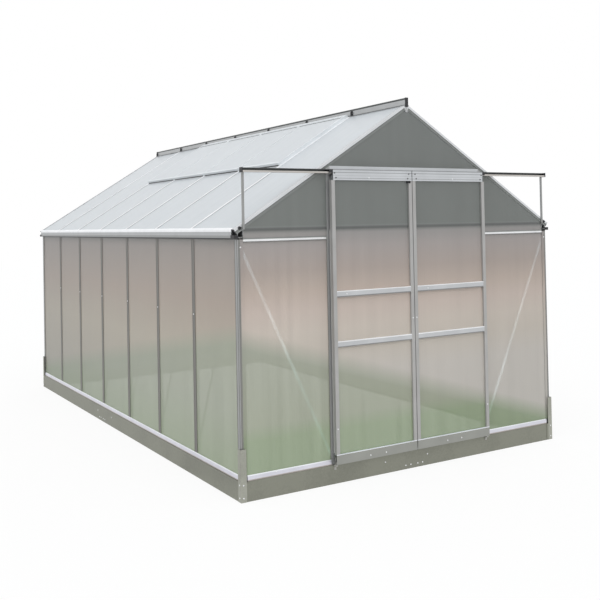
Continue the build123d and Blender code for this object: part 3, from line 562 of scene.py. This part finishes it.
NODE_FINISHES: dict[Finish, tuple[str, ...]] = {
    FRONT_SHEET: ("front_side_sheets", "front_gable_sheets", "back_wall_sheets", "back_gable_sheets",
                  "left_door_sheets", "right_door_sheets"),
    SIDE_SHEET: ("left_wall_sheets", "right_wall_sheets"),
    ROOF_SHEET: ("left_roof_sheets", "right_roof_sheets", "roof_vent_sheets"),
    WALL_BAR: ("left_wall_posts", "right_wall_posts", "back_wall_posts"),
    CORNER_BAR: ("corner_posts",),
    DOOR_POST_BAR: ("door_posts",),
    EAVE_RAIL_BAR: ("front_eave_rails", "back_eave_rails"),
    DOOR_BAR: ("left_door_stiles", "right_door_stiles"),
    DOOR_RAIL_BAR: ("left_door_rails", "right_door_rails"),
    HEADER_BAR: ("door_header", "door_threshold"),
    COVER_BAR: ("left_door_top_rail", "right_door_top_rail"),
    RIDGE_BAR: ("ridge",),
    ROOF_BAR: ("left_roof_bars", "right_roof_bars"),
    VENT_BAR: ("roof_vent_frames",),
    VENT_RAIL_BAR: ("vent_rails",),
    RAFTER_BAR: ("front_rafters", "back_rafters"),
    GUTTER_BAR: ("left_gutter", "right_gutter"),
    SILL_BAR: ("wall_sills",),
    BRACE_BAR: ("wall_braces",),
    TRACK_BAR: ("door_track",),
    POST_BAR: ("track_posts",),
    BASE_STEEL: ("base_left", "base_right", "base_front", "base_back"),
    ANGLE_STEEL: ("base_corner_angles",),
    BLACK_CAP: ("ridge_caps", "end_caps"),
    NYLON: ("left_door_rollers", "right_door_rollers", "door_guides"),
}


def unit(vectors: np.ndarray) -> np.ndarray:
    """Return the vectors, each divided by its length."""
    return vectors / np.linalg.norm(vectors, axis=-1, keepdims=True)


def grid(*values: Sequence[float] | np.ndarray) -> list[np.ndarray]:
    """Return every combination of the values, as one flat array for each list."""
    return [part.ravel() for part in np.meshgrid(*values, indexing="ij")]


def rows(x: float | np.ndarray, y: float | np.ndarray, z: float | np.ndarray) -> np.ndarray:
    """Return points or directions as rows, from their columns."""
    return np.stack(np.broadcast_arrays(*np.atleast_1d(x, y, z)), axis=-1)


def box_outline(left: float, low: float, right: float, high: float) -> np.ndarray:
    """Return the four corners of a rectangle, anticlockwise."""
    return np.array([(left, low), (right, low), (right, high), (left, high)])


@dataclass
class Surface:
    """Points and faces of one piece, and how it becomes an object."""

    points: np.ndarray
    faces: list[list[int]]

    @classmethod
    def rings(cls, points: np.ndarray) -> "Surface":
        """Join closed rings of points with quads, and close each copy's first and last ring.

        A quad joins places p and p + 1 of one ring with those of the next, the last place with the
        first. The first ring is closed backwards and the last one forwards, so both look outwards.

        Args:
            points: the points, by copy, ring, place in the ring and axis.

        Returns:
            The closed surface.
        """
        number = np.arange(points[..., 0].size).reshape(points.shape[:3])
        after = np.roll(number, -1, axis=2)
        quads = np.stack((number[:, :-1], after[:, :-1], after[:, 1:], number[:, 1:]), axis=-1)
        ends = number[:, 0, ::-1].tolist() + number[:, -1].tolist()
        return cls(points.reshape(-1, 3), quads.reshape(-1, 4).tolist() + ends)

    @classmethod
    def strips(
        cls, outline: np.ndarray, starts: np.ndarray, ends: np.ndarray, across: np.ndarray
    ) -> "Surface":
        """Carry one closed outline along straight runs, one strip for each run.

        A point is the run's start or end, plus the outline's first value along across, plus its
        second value along the run's direction crossed with across.

        Args:
            outline: its corners, anticlockwise seen against the run.
            starts: where the runs start.
            ends: where the runs end.
            across: for each run, the direction of the outline's first value.

        Returns:
            The strips as one surface.
        """
        starts, ends, across = np.broadcast_arrays(*np.atleast_2d(starts, ends, across))
        side = unit(across)
        above = np.cross(unit(ends - starts), side)
        offset = outline[:, 0, None] * side[:, None, None, :] + outline[:, 1, None] * above[:, None, None, :]
        return cls.rings(np.stack((starts, ends), axis=1)[:, :, None, :] + offset)

    @classmethod
    def blocks(cls, corners: np.ndarray, opposite: np.ndarray) -> "Surface":
        """Carry a rectangle upwards, one block for each pair of opposite corners.

        The rectangle goes anticlockwise seen from above. A point is the lowest x, y and z, plus 0
        or 1 times the block's size on each axis.

        Args:
            corners: one corner of each block.
            opposite: the corners opposite to them.

        Returns:
            The blocks as one surface.
        """
        corners, opposite = np.broadcast_arrays(*np.atleast_2d(corners, opposite))
        low, size = np.minimum(corners, opposite), np.abs(opposite - corners)
        turn = ((0, 0), (1, 0), (1, 1), (0, 1))
        share = np.array([[(x, y, z) for x, y in turn] for z in (0, 1)])
        return cls.rings(low[:, None, None, :] + share * size[:, None, None, :])

    @classmethod
    def turned(
        cls, profile: np.ndarray, places: np.ndarray, axes: np.ndarray, around: int = 12
    ) -> "Surface":
        """Turn one profile about a level axis at each place.

        A point is the place, plus the profile's height along the axis, plus its radius times
        (cos t, sin t) in the plane across the axis, with t from 0 to a full turn.

        Args:
            profile: radius and height of each ring, from the seat upwards.
            places: where the axes start.
            axes: the level directions that the pieces point to.
            around: points in each ring.

        Returns:
            The turned pieces as one surface.
        """
        places, axes = np.broadcast_arrays(*np.atleast_2d(places, axes))
        axes = unit(axes)
        side = np.cross((0, 0, 1), axes)
        above = np.cross(axes, side)
        turn = np.linspace(0, 2 * math.pi, around, endpoint=False)
        spoke = np.cos(turn)[:, None] * side[:, None, :] + np.sin(turn)[:, None] * above[:, None, :]
        along = profile[:, 1, None] * axes[:, None, :]
        out = profile[:, 0, None, None] * spoke[:, None, :, :]
        return cls.rings((places[:, None, :] + along)[:, :, None, :] + out)

    def place(self, name: str, finish: Finish, body: Body, slot: Slot) -> None:
        """Make the object, dress it and let it ride.

        Args:
            name: the piece's name.
            finish: its finish.
            body: the body it rides on.
            slot: the record's slot for its finish; not used.
        """
        mesh = bpy.data.meshes.new(name)
        mesh.from_pydata(self.points.tolist(), [], self.faces)
        mesh.materials.append(finish.material())
        piece = bpy.data.objects.new(name, mesh)
        bpy.context.scene.collection.objects.link(piece)
        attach(piece, body.value)
        LOG.info("%s: %d faces, %s, on %s", name, len(mesh.polygons), finish.name, body.value)


@dataclass(frozen=True)
class House:
    """Places of the house that fittings are set out from, read from the frame."""

    half: float
    front: float
    back: float
    base_top: float
    base_overhang: float
    eaves: float = 1533 * MM
    rise: float = 775 * MM
    bay: float = 610 * MM
    first_post: float = 631.5 * MM
    posts: int = 6
    bar_depth: float = 30 * MM
    bar_end: float = 8 * MM
    angle_wall: float = 2 * MM

    @classmethod
    def from_frame(cls) -> "House":
        """Read the outer planes from the corner posts and the base.

        Returns:
            The house's places.
        """
        low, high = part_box("corner_posts")
        base_low, base_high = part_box("base_left")
        return cls(high.x, low.y, high.y, base_high.z, low.x - base_low.x)

    @property
    def slope(self) -> float:
        """Angle of the roof."""
        return math.atan2(self.rise, self.half)

    @property
    def slope_end(self) -> float:
        """Length of the roof bars' underside from the apex to their lower ends."""
        return math.hypot(self.half, self.rise) + self.bar_end

    @property
    def post_places(self) -> np.ndarray:
        """Y of the glazing bars between the corners of a side wall."""
        return self.front + self.first_post + self.bay * np.arange(self.posts)

    def on_slope(
        self, side: np.ndarray, y: float | np.ndarray, down: float, lift: float
    ) -> np.ndarray:
        """Find points on the roof.

        x is side times (down cos a + lift sin a) and z is the apex minus down sin a plus lift cos a,
        where a is the roof's angle.

        Args:
            side: -1 for the left slope and 1 for the right one.
            y: place along the ridge.
            down: distance down the slope from the apex.
            lift: distance off the bars' underside.

        Returns:
            The points as rows.
        """
        cosine, sine = math.cos(self.slope), math.sin(self.slope)
        x = side * (down * cosine + lift * sine)
        return rows(x, y, self.eaves + self.rise - down * sine + lift * cosine)

    def along_ridge(
        self, side: np.ndarray, near: float | np.ndarray, far: float | np.ndarray, down: float, lift: float
    ) -> tuple[np.ndarray, np.ndarray, np.ndarray]:
        """Find runs along the ridge whose strips stand off the slope.

        The left slope's runs go from near to far and the right one's from far to near, so that an
        outline's first value leads down the slope and its second one off it.

        Args:
            side: -1 for the left slope and 1 for the right one.
            near: where the runs' front ends are along the ridge.
            far: where their back ends are.
            down: distance down the slope from the apex.
            lift: distance off the bars' underside.

        Returns:
            The starts, the ends and the directions down the slope.
        """
        starts = self.on_slope(side, np.where(side < 0, near, far), down, lift)
        ends = self.on_slope(side, np.where(side < 0, far, near), down, lift)
        return starts, ends, rows(side * math.cos(self.slope), 0, -math.sin(self.slope))


@dataclass(frozen=True)
class ScrewHead:
    """A pan-head screw: rounded rim, sunk drive and a flat seat."""

    radius: float = 5 * MM
    height: float = 3 * MM

    @property
    def profile(self) -> np.ndarray:
        """Radius and height of the head's rings, from the seat over the rim to the drive's bottom."""
        shares = ((1.0, 0.0), (1.0, 0.45), (0.8, 0.9), (0.45, 1.0), (0.38, 0.5))
        return np.array(shares) * (self.radius, self.height)

    def set(
        self, name: str, places: np.ndarray, axes: np.ndarray, finish: Finish = ZINC_SCREW,
        body: Body = Body.HOUSE,
    ) -> None:
        """Set one head at each place."""
        Surface.turned(self.profile, places, axes).place(name, finish, body, Slot.ZINC)


@dataclass
class BaseBolts:
    """Bolts of the steel base, and the plates that close the joints beside its corner angles."""

    house: House
    head: ScrewHead
    angle_inset: float = 5 * MM
    angle_heights: Span = (25 * MM, 98 * MM)
    joint_low: tuple[float, ...] = (-74 * MM, -33 * MM, 23 * MM, 63 * MM)
    joint_high: tuple[float, ...] = (-235 * MM, 104 * MM)
    low_height: float = 25 * MM
    high_height: float = 71 * MM
    side_joint: float = 2480 * MM
    plate_edge: float = 26 * MM
    plate_end: float = 44 * MM
    plate_wall: float = 1.6 * MM
    plate_gap: float = 2 * MM

    def build(self) -> None:
        """Set the bolts in the angles and in the joints, and the plates beside the angles."""
        self.angles()
        self.joints()
        self.plates()

    def angles(self) -> None:
        """Set two bolts, one above the other, in each face of each corner angle."""
        house = self.house
        reach = house.base_overhang + house.angle_wall
        side, end, z, sideways = grid((-1, 1), (-1, 1), self.angle_heights, (0, 1))
        wall = np.where(end < 0, house.front, house.back)
        x = side * (house.half + np.where(sideways, reach, -self.angle_inset))
        y = wall + end * np.where(sideways, -self.angle_inset, reach)
        self.head.set("corner_angle_bolts", rows(x, y, z), rows(side * sideways, end * (1 - sideways), 0))

    def joints(self) -> None:
        """Set the bolts of the joints in the front, the back and both sides."""
        house = self.house
        along = np.array((*self.joint_low, *self.joint_high))
        height = np.where(np.arange(len(along)) < len(self.joint_low), self.low_height, self.high_height)
        x, y = house.half + house.base_overhang, house.front + self.side_joint + along
        places = np.concatenate((
            rows(along, house.front - house.base_overhang, height),
            rows(along, house.back + house.base_overhang, height),
            rows(-x, y, height),
            rows(x, y, height),
        ))
        axes = np.repeat([(0, -1, 0), (0, 1, 0), (-1, 0, 0), (1, 0, 0)], len(along), axis=0)
        self.head.set("base_joint_bolts", places, axes)

    def plates(self) -> None:
        """Cover the joint between each corner angle and the front or back length with a plate."""
        house = self.house
        side, end = grid((-1, 1), (-1, 1))
        face = np.where(end < 0, house.front, house.back) + end * house.base_overhang
        inner = rows(side * (house.half - self.plate_end), face, self.plate_gap)
        outer_x, outer_y = side * (house.half - self.plate_edge), face + end * self.plate_wall
        Surface.blocks(inner, rows(outer_x, outer_y, house.base_top - self.plate_gap)).place(
            "base_joint_plates", BASE_STEEL, Body.HOUSE, Slot.ZINC,
        )


@dataclass
class WallScrews:
    """Screws that show on the walls: on the glazing bars, the corner posts, the sills and the braces."""

    house: House
    head: ScrewHead
    post_height: float = 1020 * MM
    brace_top: float = 1451 * MM
    brace_top_inset: float = 17 * MM
    brace_foot: float = 247 * MM
    brace_foot_x: float = 681 * MM
    behind_sheet: float = 8.3 * MM
    sill_x: float = 1018 * MM
    sill_height: float = 141 * MM
    sill_lip: float = 4 * MM

    def build(self) -> None:
        """Set the screws of the side walls and of the front."""
        house = self.house
        side, y = grid((-1, 1), house.post_places)
        self.head.set("wall_bar_screws", rows(side * house.half, y, self.post_height), rows(side, 0, 0))
        x = np.array((house.half - self.brace_top_inset, self.brace_foot_x, self.sill_x))
        y = house.front + np.array((0, self.behind_sheet, -self.sill_lip))
        z = np.array((self.brace_top, self.brace_foot, self.sill_height))
        self.head.set("front_wall_screws", np.vstack((rows(x, y, z), rows(-x, y, z))), np.array((0, -1, 0)))


@dataclass
class DoorFittings:
    """What is screwed to one sliding leaf: its screws, hanger plate, brush, buffer and catch.

    A spot on the leaf is its distance from the house's middle, its distance before the wall and
    its height.
    """

    house: House
    head: ScrewHead
    body: Body
    face: float = 42 * MM
    cover_back: float = 39.5 * MM
    cover_foot: float = 1841 * MM
    cover_screws: tuple[Span, ...] = (
        (26 * MM, 1885 * MM), (35 * MM, 1855 * MM), (596 * MM, 1885 * MM), (586 * MM, 1855 * MM),
    )
    leaf_screws: tuple[Span, ...] = (
        (340 * MM, 1857 * MM), (607.5 * MM, 335 * MM), (15 * MM, 964 * MM),
        (250 * MM, 143 * MM), (370 * MM, 143 * MM),
    )
    rail_height: float = 1147 * MM
    left_rail_screw: float = 523 * MM
    right_rail_screw: float = 112 * MM
    meeting: float = 2.5 * MM
    buffer_low: float = 1868 * MM
    buffer_high: float = 1893 * MM
    buffer_thickness: float = 1.6 * MM
    hanger_end: float = 632 * MM
    hanger_start: float = 600 * MM
    hanger_low: float = 1885.5 * MM
    hanger_high: float = 1905 * MM
    hanger_back: float = 34.5 * MM
    catch_start: float = 12 * MM
    catch_end: float = 38 * MM
    catch_height: float = 15 * MM
    catch_depth: float = 10 * MM
    outer_edge: float = 620 * MM
    brush_wall: float = 3 * MM
    brush_front: float = 17 * MM
    brush_back: float = 10 * MM
    brush_low: float = 190 * MM
    brush_high: float = 1540 * MM

    @property
    def is_left(self) -> bool:
        """Whether this is the left leaf."""
        return self.body is Body.LEFT_DOOR

    def placed(self, spots: Sequence[Spot]) -> np.ndarray:
        """Return spots on the leaf as points."""
        return np.array(spots) * (-1 if self.is_left else 1, -1, 1) + (0, self.house.front, 0)

    def screws(self, name: str, spots: Sequence[Span], finish: Finish) -> None:
        """Set screws on the leaf's face, at a distance from the middle and a height each."""
        places = self.placed([(x, self.face, z) for x, z in spots])
        self.head.set(f"{self.body.value}_{name}", places, np.array((0, -1, 0)), finish, self.body)

    def block(self, name: str, spots: tuple[Spot, Spot], finish: Finish) -> None:
        """Put a block between two spots on the leaf."""
        corner, opposite = self.placed(spots)
        Surface.blocks(corner, opposite).place(f"{self.body.value}_{name}", finish, self.body, Slot.BLACK)

    def build(self) -> None:
        """Set the leaf's screws, hanger plate, brush and buffer, and the catch of the left leaf."""
        rail_screw = (self.left_rail_screw if self.is_left else self.right_rail_screw, self.rail_height)
        self.screws("cover_screws", self.cover_screws, DARK_SCREW)
        self.screws("rail_screws", (*self.leaf_screws, rail_screw), ZINC_SCREW)
        self.block("hanger_plate", (
            (self.hanger_start, self.cover_back, self.hanger_low),
            (self.hanger_end, self.hanger_back, self.hanger_high),
        ), BLACK_CAP)
        self.block("brush", (
            (self.outer_edge - self.brush_wall, self.brush_front, self.brush_low),
            (self.outer_edge, self.brush_back, self.brush_high),
        ), PILE)
        self.block("buffer", (
            (self.meeting - self.buffer_thickness, self.face, self.buffer_low),
            (self.meeting, self.hanger_back, self.buffer_high),
        ), BLACK_CAP)
        if self.is_left:
            self.block("catch", (
                (self.catch_start, self.face, self.cover_foot - self.catch_height),
                (self.catch_end, self.face - self.catch_depth, self.cover_foot),
            ), BLACK_CAP)


@dataclass
class TrackFittings:
    """Black screw covers beside the feet of the track's end posts."""

    house: House
    cover: ScrewHead = ScrewHead(10 * MM, 7 * MM)
    around: int = 16
    cover_x: float = 1228 * MM
    cover_height: float = 1562 * MM

    def build(self) -> None:
        """Set one screw cover beside each post's foot."""
        places = rows(np.array((-self.cover_x, self.cover_x)), self.house.front, self.cover_height)
        Surface.turned(self.cover.profile, places, np.array((0, -1, 0)), self.around).place(
            "track_post_screw_covers", BLACK_CAP, Body.HOUSE, Slot.BLACK,
        )


@dataclass
class RoofTrim:
    """Small profiles that finish the roof: drip edges, rafter plugs, rubber lines and ridge seals; the dark
    rubber also stands as painted shadow lines.
    """

    house: House
    drip_radius: float = 8 * MM
    drip_wall: float = 1.2 * MM
    drip_flange: float = 14 * MM
    drip_foot: float = 1521.5 * MM
    drip_reach: float = 1266.4 * MM
    drip_clear: float = 31 * MM
    drip_lift: float = 31.5 * MM
    drip_steps: int = 8
    plug: float = 2.5 * MM
    plug_width: float = 31 * MM
    line_width: float = 3 * MM
    line_proud: float = 0.8 * MM
    line_lift: float = 14 * MM
    gable_seal: float = 12 * MM
    cap_edge: float = 30.5 * MM
    cap_seal_lift: float = 28 * MM
    ridge_half: float = 9 * MM
    wing_reach: float = 21 * MM
    wing_seal: float = 3.5 * MM
    wing_wall: float = 2.2 * MM

    def build(self) -> None:
        """Make the drip edges, the plugs, the rubber lines and the ridge seals, with their painted shadow
        lines.
        """
        self.drip_edges()
        self.rafter_plugs()
        self.rafter_lines()
        self.ridge_seal_shadow_lines()

    def drip_outline(self) -> np.ndarray:
        """Draw the rolled drip edge in x outwards and z upwards.

        Its outer side runs down the slope, round an arc of the radius from the slope's normal to
        level, and straight down to the foot; the inner side is the same line moved in by the wall.

        Returns:
            The closed outline, anticlockwise.
        """
        house = self.house
        angle = house.slope
        centre_x = self.drip_reach - self.drip_radius
        lift = self.drip_lift - self.drip_radius
        centre_z = house.eaves + house.rise + (lift - centre_x * math.sin(angle)) / math.cos(angle)
        turn = np.linspace(math.pi / 2 - angle, 0, self.drip_steps)
        sides = []
        for radius in (self.drip_radius, self.drip_radius - self.drip_wall):
            arc = np.stack((centre_x + radius * np.cos(turn), centre_z + radius * np.sin(turn)), axis=-1)
            head = arc[0] - self.drip_flange * np.array((math.cos(angle), -math.sin(angle)))
            foot = np.array((arc[-1, 0], self.drip_foot))
            sides.append(np.vstack((head, arc, foot)))
        return np.vstack((sides[1], sides[0][::-1]))

    def drip_edges(self) -> None:
        """Lay a drip edge over the lower ends of the roof's sheets and bars, on both sides."""
        near, far = self.house.front + self.drip_clear, self.house.back - self.drip_clear
        starts, ends = rows(0, np.array((near, far)), 0), rows(0, np.array((far, near)), 0)
        Surface.strips(self.drip_outline(), starts, ends, rows(np.array((-1, 1)), 0, 0)).place(
            "roof_drip_edges", DRIP_BAR, Body.HOUSE, Slot.MILL,
        )

    def rafter_plugs(self) -> None:
        """Close the rafters' lower ends with black plugs."""
        house = self.house
        side, near = grid((-1, 1), (house.front, house.back - self.plug_width))
        runs = house.along_ridge(side, near, near + self.plug_width, house.slope_end, 0)
        Surface.strips(box_outline(0, 0, self.plug, house.bar_depth + self.line_proud), *runs).place(
            "rafter_end_plugs", BLACK_CAP, Body.HOUSE, Slot.BLACK,
        )

    def rafter_lines(self) -> None:
        """Lay rubber on the rafters: a line and a seal on each gable face, and one beside the roof sheets;
        the dark lines also stand as painted shadow, and the gable seals carry the gable's painted shade.
        """
        house = self.house
        top = self.ridge_half / math.cos(house.slope)
        half, proud = self.line_width / 2, self.line_proud / 2
        faces = (house.front - proud, house.back + proud)
        inner = (house.front + self.cap_edge + half, house.back - self.cap_edge - half)
        for name, finish, places, lift, wide, tall in (
            ("rafter_face_lines", RUBBER_AND_SHADOW_LINES, faces, self.line_lift, proud, half),
            ("gable_sheet_seals", GABLE_RUBBER, faces, self.gable_seal / 2, proud, self.gable_seal / 2),
            ("rafter_roof_seal_shadow_lines", RUBBER_AND_SHADOW_LINES, inner, self.cap_seal_lift + self.line_proud, half, self.line_proud),
        ):
            side, y = grid((-1, 1), places)
            starts, ends = (house.on_slope(side, y, down, lift) for down in (top, house.slope_end))
            Surface.strips(box_outline(-wide, -tall, wide, tall), starts, ends, np.array((0, 1, 0))).place(
                name, finish, Body.HOUSE, Slot.BLACK,
            )

    def ridge_seal_shadow_lines(self) -> None:
        """Lay a rubber line on the outer edge of both ridge wings, along the whole roof, which also stands as
        the painted shadow under the wings.
        """
        house = self.house
        lift = house.bar_depth + self.wing_wall
        down = (self.wing_reach - lift * math.sin(house.slope)) / math.cos(house.slope)
        runs = house.along_ridge(np.array((-1, 1)), house.front, house.back, down, lift)
        Surface.strips(box_outline(-self.wing_seal, 0, 0, 2 * self.line_proud), *runs).place(
            "ridge_seal_shadow_lines", RUBBER_AND_SHADOW_LINES, Body.HOUSE, Slot.BLACK,
        )


@dataclass
class BarGaskets:
    """Rubber gaskets along the bars, and the end walls' sheets lapped over the corner posts."""

    house: House
    width: float = 6 * MM
    proud: float = 0.8 * MM
    groove: float = 12 * MM
    low: float = 148 * MM
    high: float = 1495 * MM
    bar_half: float = 14 * MM
    corner_face: float = 36 * MM
    edge_half: float = 6 * MM
    lap_outer: float = 15 * MM
    lap_wall: float = 0.8 * MM
    door_post: float = 632 * MM
    roof_start: float = 712 * MM
    roof_width: float = 3 * MM

    def build(self) -> None:
        """Lay the gaskets of the walls and of the roof, and the laps of the end walls' sheets."""
        self.walls()
        self.laps()
        self.roof()

    def walls(self) -> None:
        """Lay upright gaskets beside the glazing bars and the door posts, and seals at the corners, all in
        the bars' painted shade tone.
        """
        house = self.house
        beside = self.bar_half + self.width / 2
        inset = np.array((self.groove, self.corner_face + self.width / 2))
        posts = house.post_places
        y = np.concatenate((posts - beside, posts + beside, house.front + inset, house.back - inset))
        at_door, at_corner = self.door_post + self.width / 2, house.half - self.lap_outer + self.edge_half
        on_sides = grid((-house.half, house.half), y)
        on_front = grid((-at_door, at_door), (house.front,))
        corners = grid((-at_corner, at_corner), (house.front, house.back))
        for name, (x, y), wide, deep in (
            ("side_wall_gaskets", on_sides, self.proud, self.width / 2),
            ("door_post_gaskets", on_front, self.width / 2, self.proud),
            ("corner_edge_seals", corners, self.edge_half, self.proud),
        ):
            foot, head = rows(x - wide, y - deep, self.low), rows(x + wide, y + deep, self.high)
            Surface.blocks(foot, head).place(name, WALL_RUBBER, Body.HOUSE, Slot.BLACK)

    def laps(self) -> None:
        """Lap the end walls' sheets over the corner posts, up to the seals at the corners."""
        house = self.house
        side, end = grid((-1, 1), (-1, 1))
        face = np.where(end < 0, house.front, house.back)
        outer = rows(side * (house.half - self.lap_outer), face, self.low)
        inner = rows(side * (house.half - self.corner_face), face + end * self.lap_wall, self.high)
        Surface.blocks(outer, inner).place("end_wall_sheet_laps", FRONT_SHEET, Body.HOUSE, Slot.SHEET)

    def roof(self) -> None:
        """Lay gaskets beside the roof bars, from below the vents to the eaves."""
        house = self.house
        beside, half = self.bar_half + self.roof_width / 2, self.roof_width / 2
        side, y = grid((-1, 1), np.concatenate((house.post_places - beside, house.post_places + beside)))
        starts, ends = (
            house.on_slope(side, y, down, house.bar_depth) for down in (self.roof_start, house.slope_end)
        )
        outline = box_outline(-half, -self.proud, half, self.proud)
        Surface.strips(outline, starts, ends, np.array((0, 1, 0))).place(
            "roof_bar_gaskets", ROOF_RUBBER, Body.HOUSE, Slot.BLACK,
        )


@dataclass
class VentSealShadowLines:
    """Rubber lips under the lower edges of the roof vents, and hinge seals along the upper ones, both also
    standing as painted shadow lines.
    """

    house: House
    first_bay: int = 1
    vents: int = 4
    vent_end: float = 676.6 * MM
    lip_width: float = 5 * MM
    lip_height: float = 6 * MM
    lip_inset: float = 20 * MM
    first_grid: float = 21.5 * MM
    hinge_place: float = 51 * MM
    hinge_lift: float = 22 * MM
    hinge_height: float = 1 * MM

    def build(self) -> None:
        """Lay the lips and the hinge seals with their painted shadow, one strip along each vent on both
        slopes.
        """
        house = self.house
        bays = self.first_bay + np.arange(self.vents)
        side, near = grid((-1, 1), house.front + self.first_grid + self.lip_inset + house.bay * bays)
        far = near + house.bay - 2 * self.lip_inset
        for name, down, lift, height in (
            ("vent_lip_seal_shadow_lines", self.vent_end, house.bar_depth, self.lip_height),
            ("vent_hinge_seal_shadow_lines", self.hinge_place, house.bar_depth + self.hinge_lift, self.hinge_height),
        ):
            runs = house.along_ridge(side, near, far, down, lift)
            Surface.strips(box_outline(0, 0, self.lip_width, height), *runs).place(
                name, RUBBER_AND_SHADOW_LINES, Body.HOUSE, Slot.BLACK,
            )


@dataclass
class Studio:
    """Floor, soft light and the camera at the photograph's angle."""

    camera_place: Spot = (-3.4542, -6.5079, 1.5805)
    yaw: float = 31.0966
    pitch: float = 1.0
    roll: float = -1.1097
    focal_pixels: float = 853.46
    picture: float = 600.0
    centre_row: float = 208.70
    sensor: float = 36.0
    view_reach: float = 200.0
    floor_size: float = 60.0
    floor_paint: str = "#F2F2F0"
    floor_white: float = 0.84
    floor_glow: float = 1.03
    sky: str = "#F4F6FA"
    sky_strength: float = 0.72
    backdrop: str = "#FFFFFF"
    sun_energy: float = 1.1
    sun_width: float = 70.0
    sun_tilt: float = 38.0
    sun_turn: float = -35.0

    def build(self) -> None:
        """Set up camera, world, floor and lamp."""
        self.camera()
        self.world()
        self.floor()
        self.lamp()
        bpy.context.scene.view_settings.view_transform = "Standard"

    def camera(self) -> None:
        """Make the camera from its place, its three angles and its focal length in pixels."""
        data = bpy.data.cameras.new("camera")
        data.sensor_width = self.sensor
        data.lens = self.focal_pixels / self.picture * self.sensor
        data.shift_y = (self.centre_row - self.picture / 2) / self.picture
        data.clip_end = self.view_reach
        yaw, pitch, roll = (math.radians(angle) for angle in (self.yaw, self.pitch, self.roll))
        ahead = Vector((math.sin(yaw) * math.cos(pitch), math.cos(yaw) * math.cos(pitch), math.sin(pitch)))
        right = Vector((math.cos(yaw), -math.sin(yaw), 0))
        up = right.cross(ahead)
        across = right * math.cos(roll) + up * math.sin(roll)
        above = up * math.cos(roll) - right * math.sin(roll)
        turned = Matrix((across, above, -ahead)).transposed().to_4x4()
        camera = bpy.data.objects.new("camera", data)
        bpy.context.scene.collection.objects.link(camera)
        camera.matrix_world = Matrix.Translation(self.camera_place) @ turned
        bpy.context.scene.camera = camera

    def seen(self, tree: Tree) -> Socket:
        """Find the rays that show the background: camera, glossy and transmission rays.

        Args:
            tree: the tree that gets the nodes.

        Returns:
            A socket that is 1 for those rays and 0 for the others.
        """
        path = add(tree, "LightPath").outputs
        first = {0: path["Is Camera Ray"], 1: path["Is Glossy Ray"]}
        both = {0: add(tree, "Math", first, operation="MAXIMUM").outputs[0], 1: path["Is Transmission Ray"]}
        return add(tree, "Math", both, operation="MAXIMUM").outputs[0]

    def world(self) -> None:
        """Make a white backdrop for what is seen, and an even sky for the light."""
        world = bpy.data.worlds.new("world")
        world.use_nodes = True
        bpy.context.scene.world = world
        tree = world.node_tree
        tree.nodes.clear()
        light = add(tree, "Background", {"Color": linear(self.sky), "Strength": self.sky_strength})
        white = add(tree, "Background", {"Color": linear(self.backdrop), "Strength": 1.0})
        mixed = add(tree, "MixShader", {0: self.seen(tree), 1: light.outputs[0], 2: white.outputs[0]})
        add(tree, "OutputWorld", {"Surface": mixed.outputs[0]})

    def floor(self) -> None:
        """Lay a pale floor that shows nearly white and keeps the soft shadow."""
        mesh = bpy.data.meshes.new("floor")
        half = self.floor_size / 2
        corners = np.column_stack((box_outline(-half, -half, half, half), np.zeros(4)))
        mesh.from_pydata(corners.tolist(), [], [(0, 1, 2, 3)])
        floor = bpy.data.objects.new("floor", mesh)
        bpy.context.scene.collection.objects.link(floor)
        material = bpy.data.materials.new("Pale_floor")
        material.use_nodes = True
        tree = material.node_tree
        tree.nodes.clear()
        paint = add(tree, "BsdfDiffuse", {"Color": linear(self.floor_paint)})
        white = add(tree, "Emission", {"Color": linear(self.backdrop), "Strength": self.floor_glow})
        share = add(tree, "Math", {0: self.seen(tree), 1: self.floor_white}, operation="MULTIPLY")
        mixed = add(tree, "MixShader", {0: share.outputs[0], 1: paint.outputs[0], 2: white.outputs[0]})
        add(tree, "OutputMaterial", {"Surface": mixed.outputs[0]})
        mesh.materials.append(material)

    def lamp(self) -> None:
        """Hang one broad sun, so soft that it only rounds the forms."""
        data = bpy.data.lights.new("soft_sun", "SUN")
        data.energy = self.sun_energy
        data.angle = math.radians(self.sun_width)
        lamp = bpy.data.objects.new("soft_sun", data)
        lamp.rotation_euler = (math.radians(self.sun_tilt), 0, math.radians(self.sun_turn))
        bpy.context.scene.collection.objects.link(lamp)


def dress_nodes(nodes: dict[str, bpy.types.Object]) -> None:
    """Give every node of the frame its finish.

    Args:
        nodes: the frame's objects by node name.
    """
    for finish, names in NODE_FINISHES.items():
        for name in names:
            mesh = nodes[name].data
            mesh.materials.clear()
            mesh.materials.append(finish.material())
            LOG.info("%s: %s", name, finish.name)


def main() -> None:
    """Dress the frame, add the fittings and set up the studio."""
    logging.basicConfig(level=logging.INFO, format="%(name)s: %(message)s")
    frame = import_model()
    dress_nodes(frame["nodes"])
    house = House.from_frame()
    head = ScrewHead()
    for fittings in (
        BaseBolts(house, head),
        WallScrews(house, head),
        DoorFittings(house, head, Body.LEFT_DOOR),
        DoorFittings(house, head, Body.RIGHT_DOOR),
        TrackFittings(house),
        RoofTrim(house),
        BarGaskets(house),
        VentSealShadowLines(house),
    ):
        fittings.build()
    Studio().build()


if __name__ == "__main__":
    main()
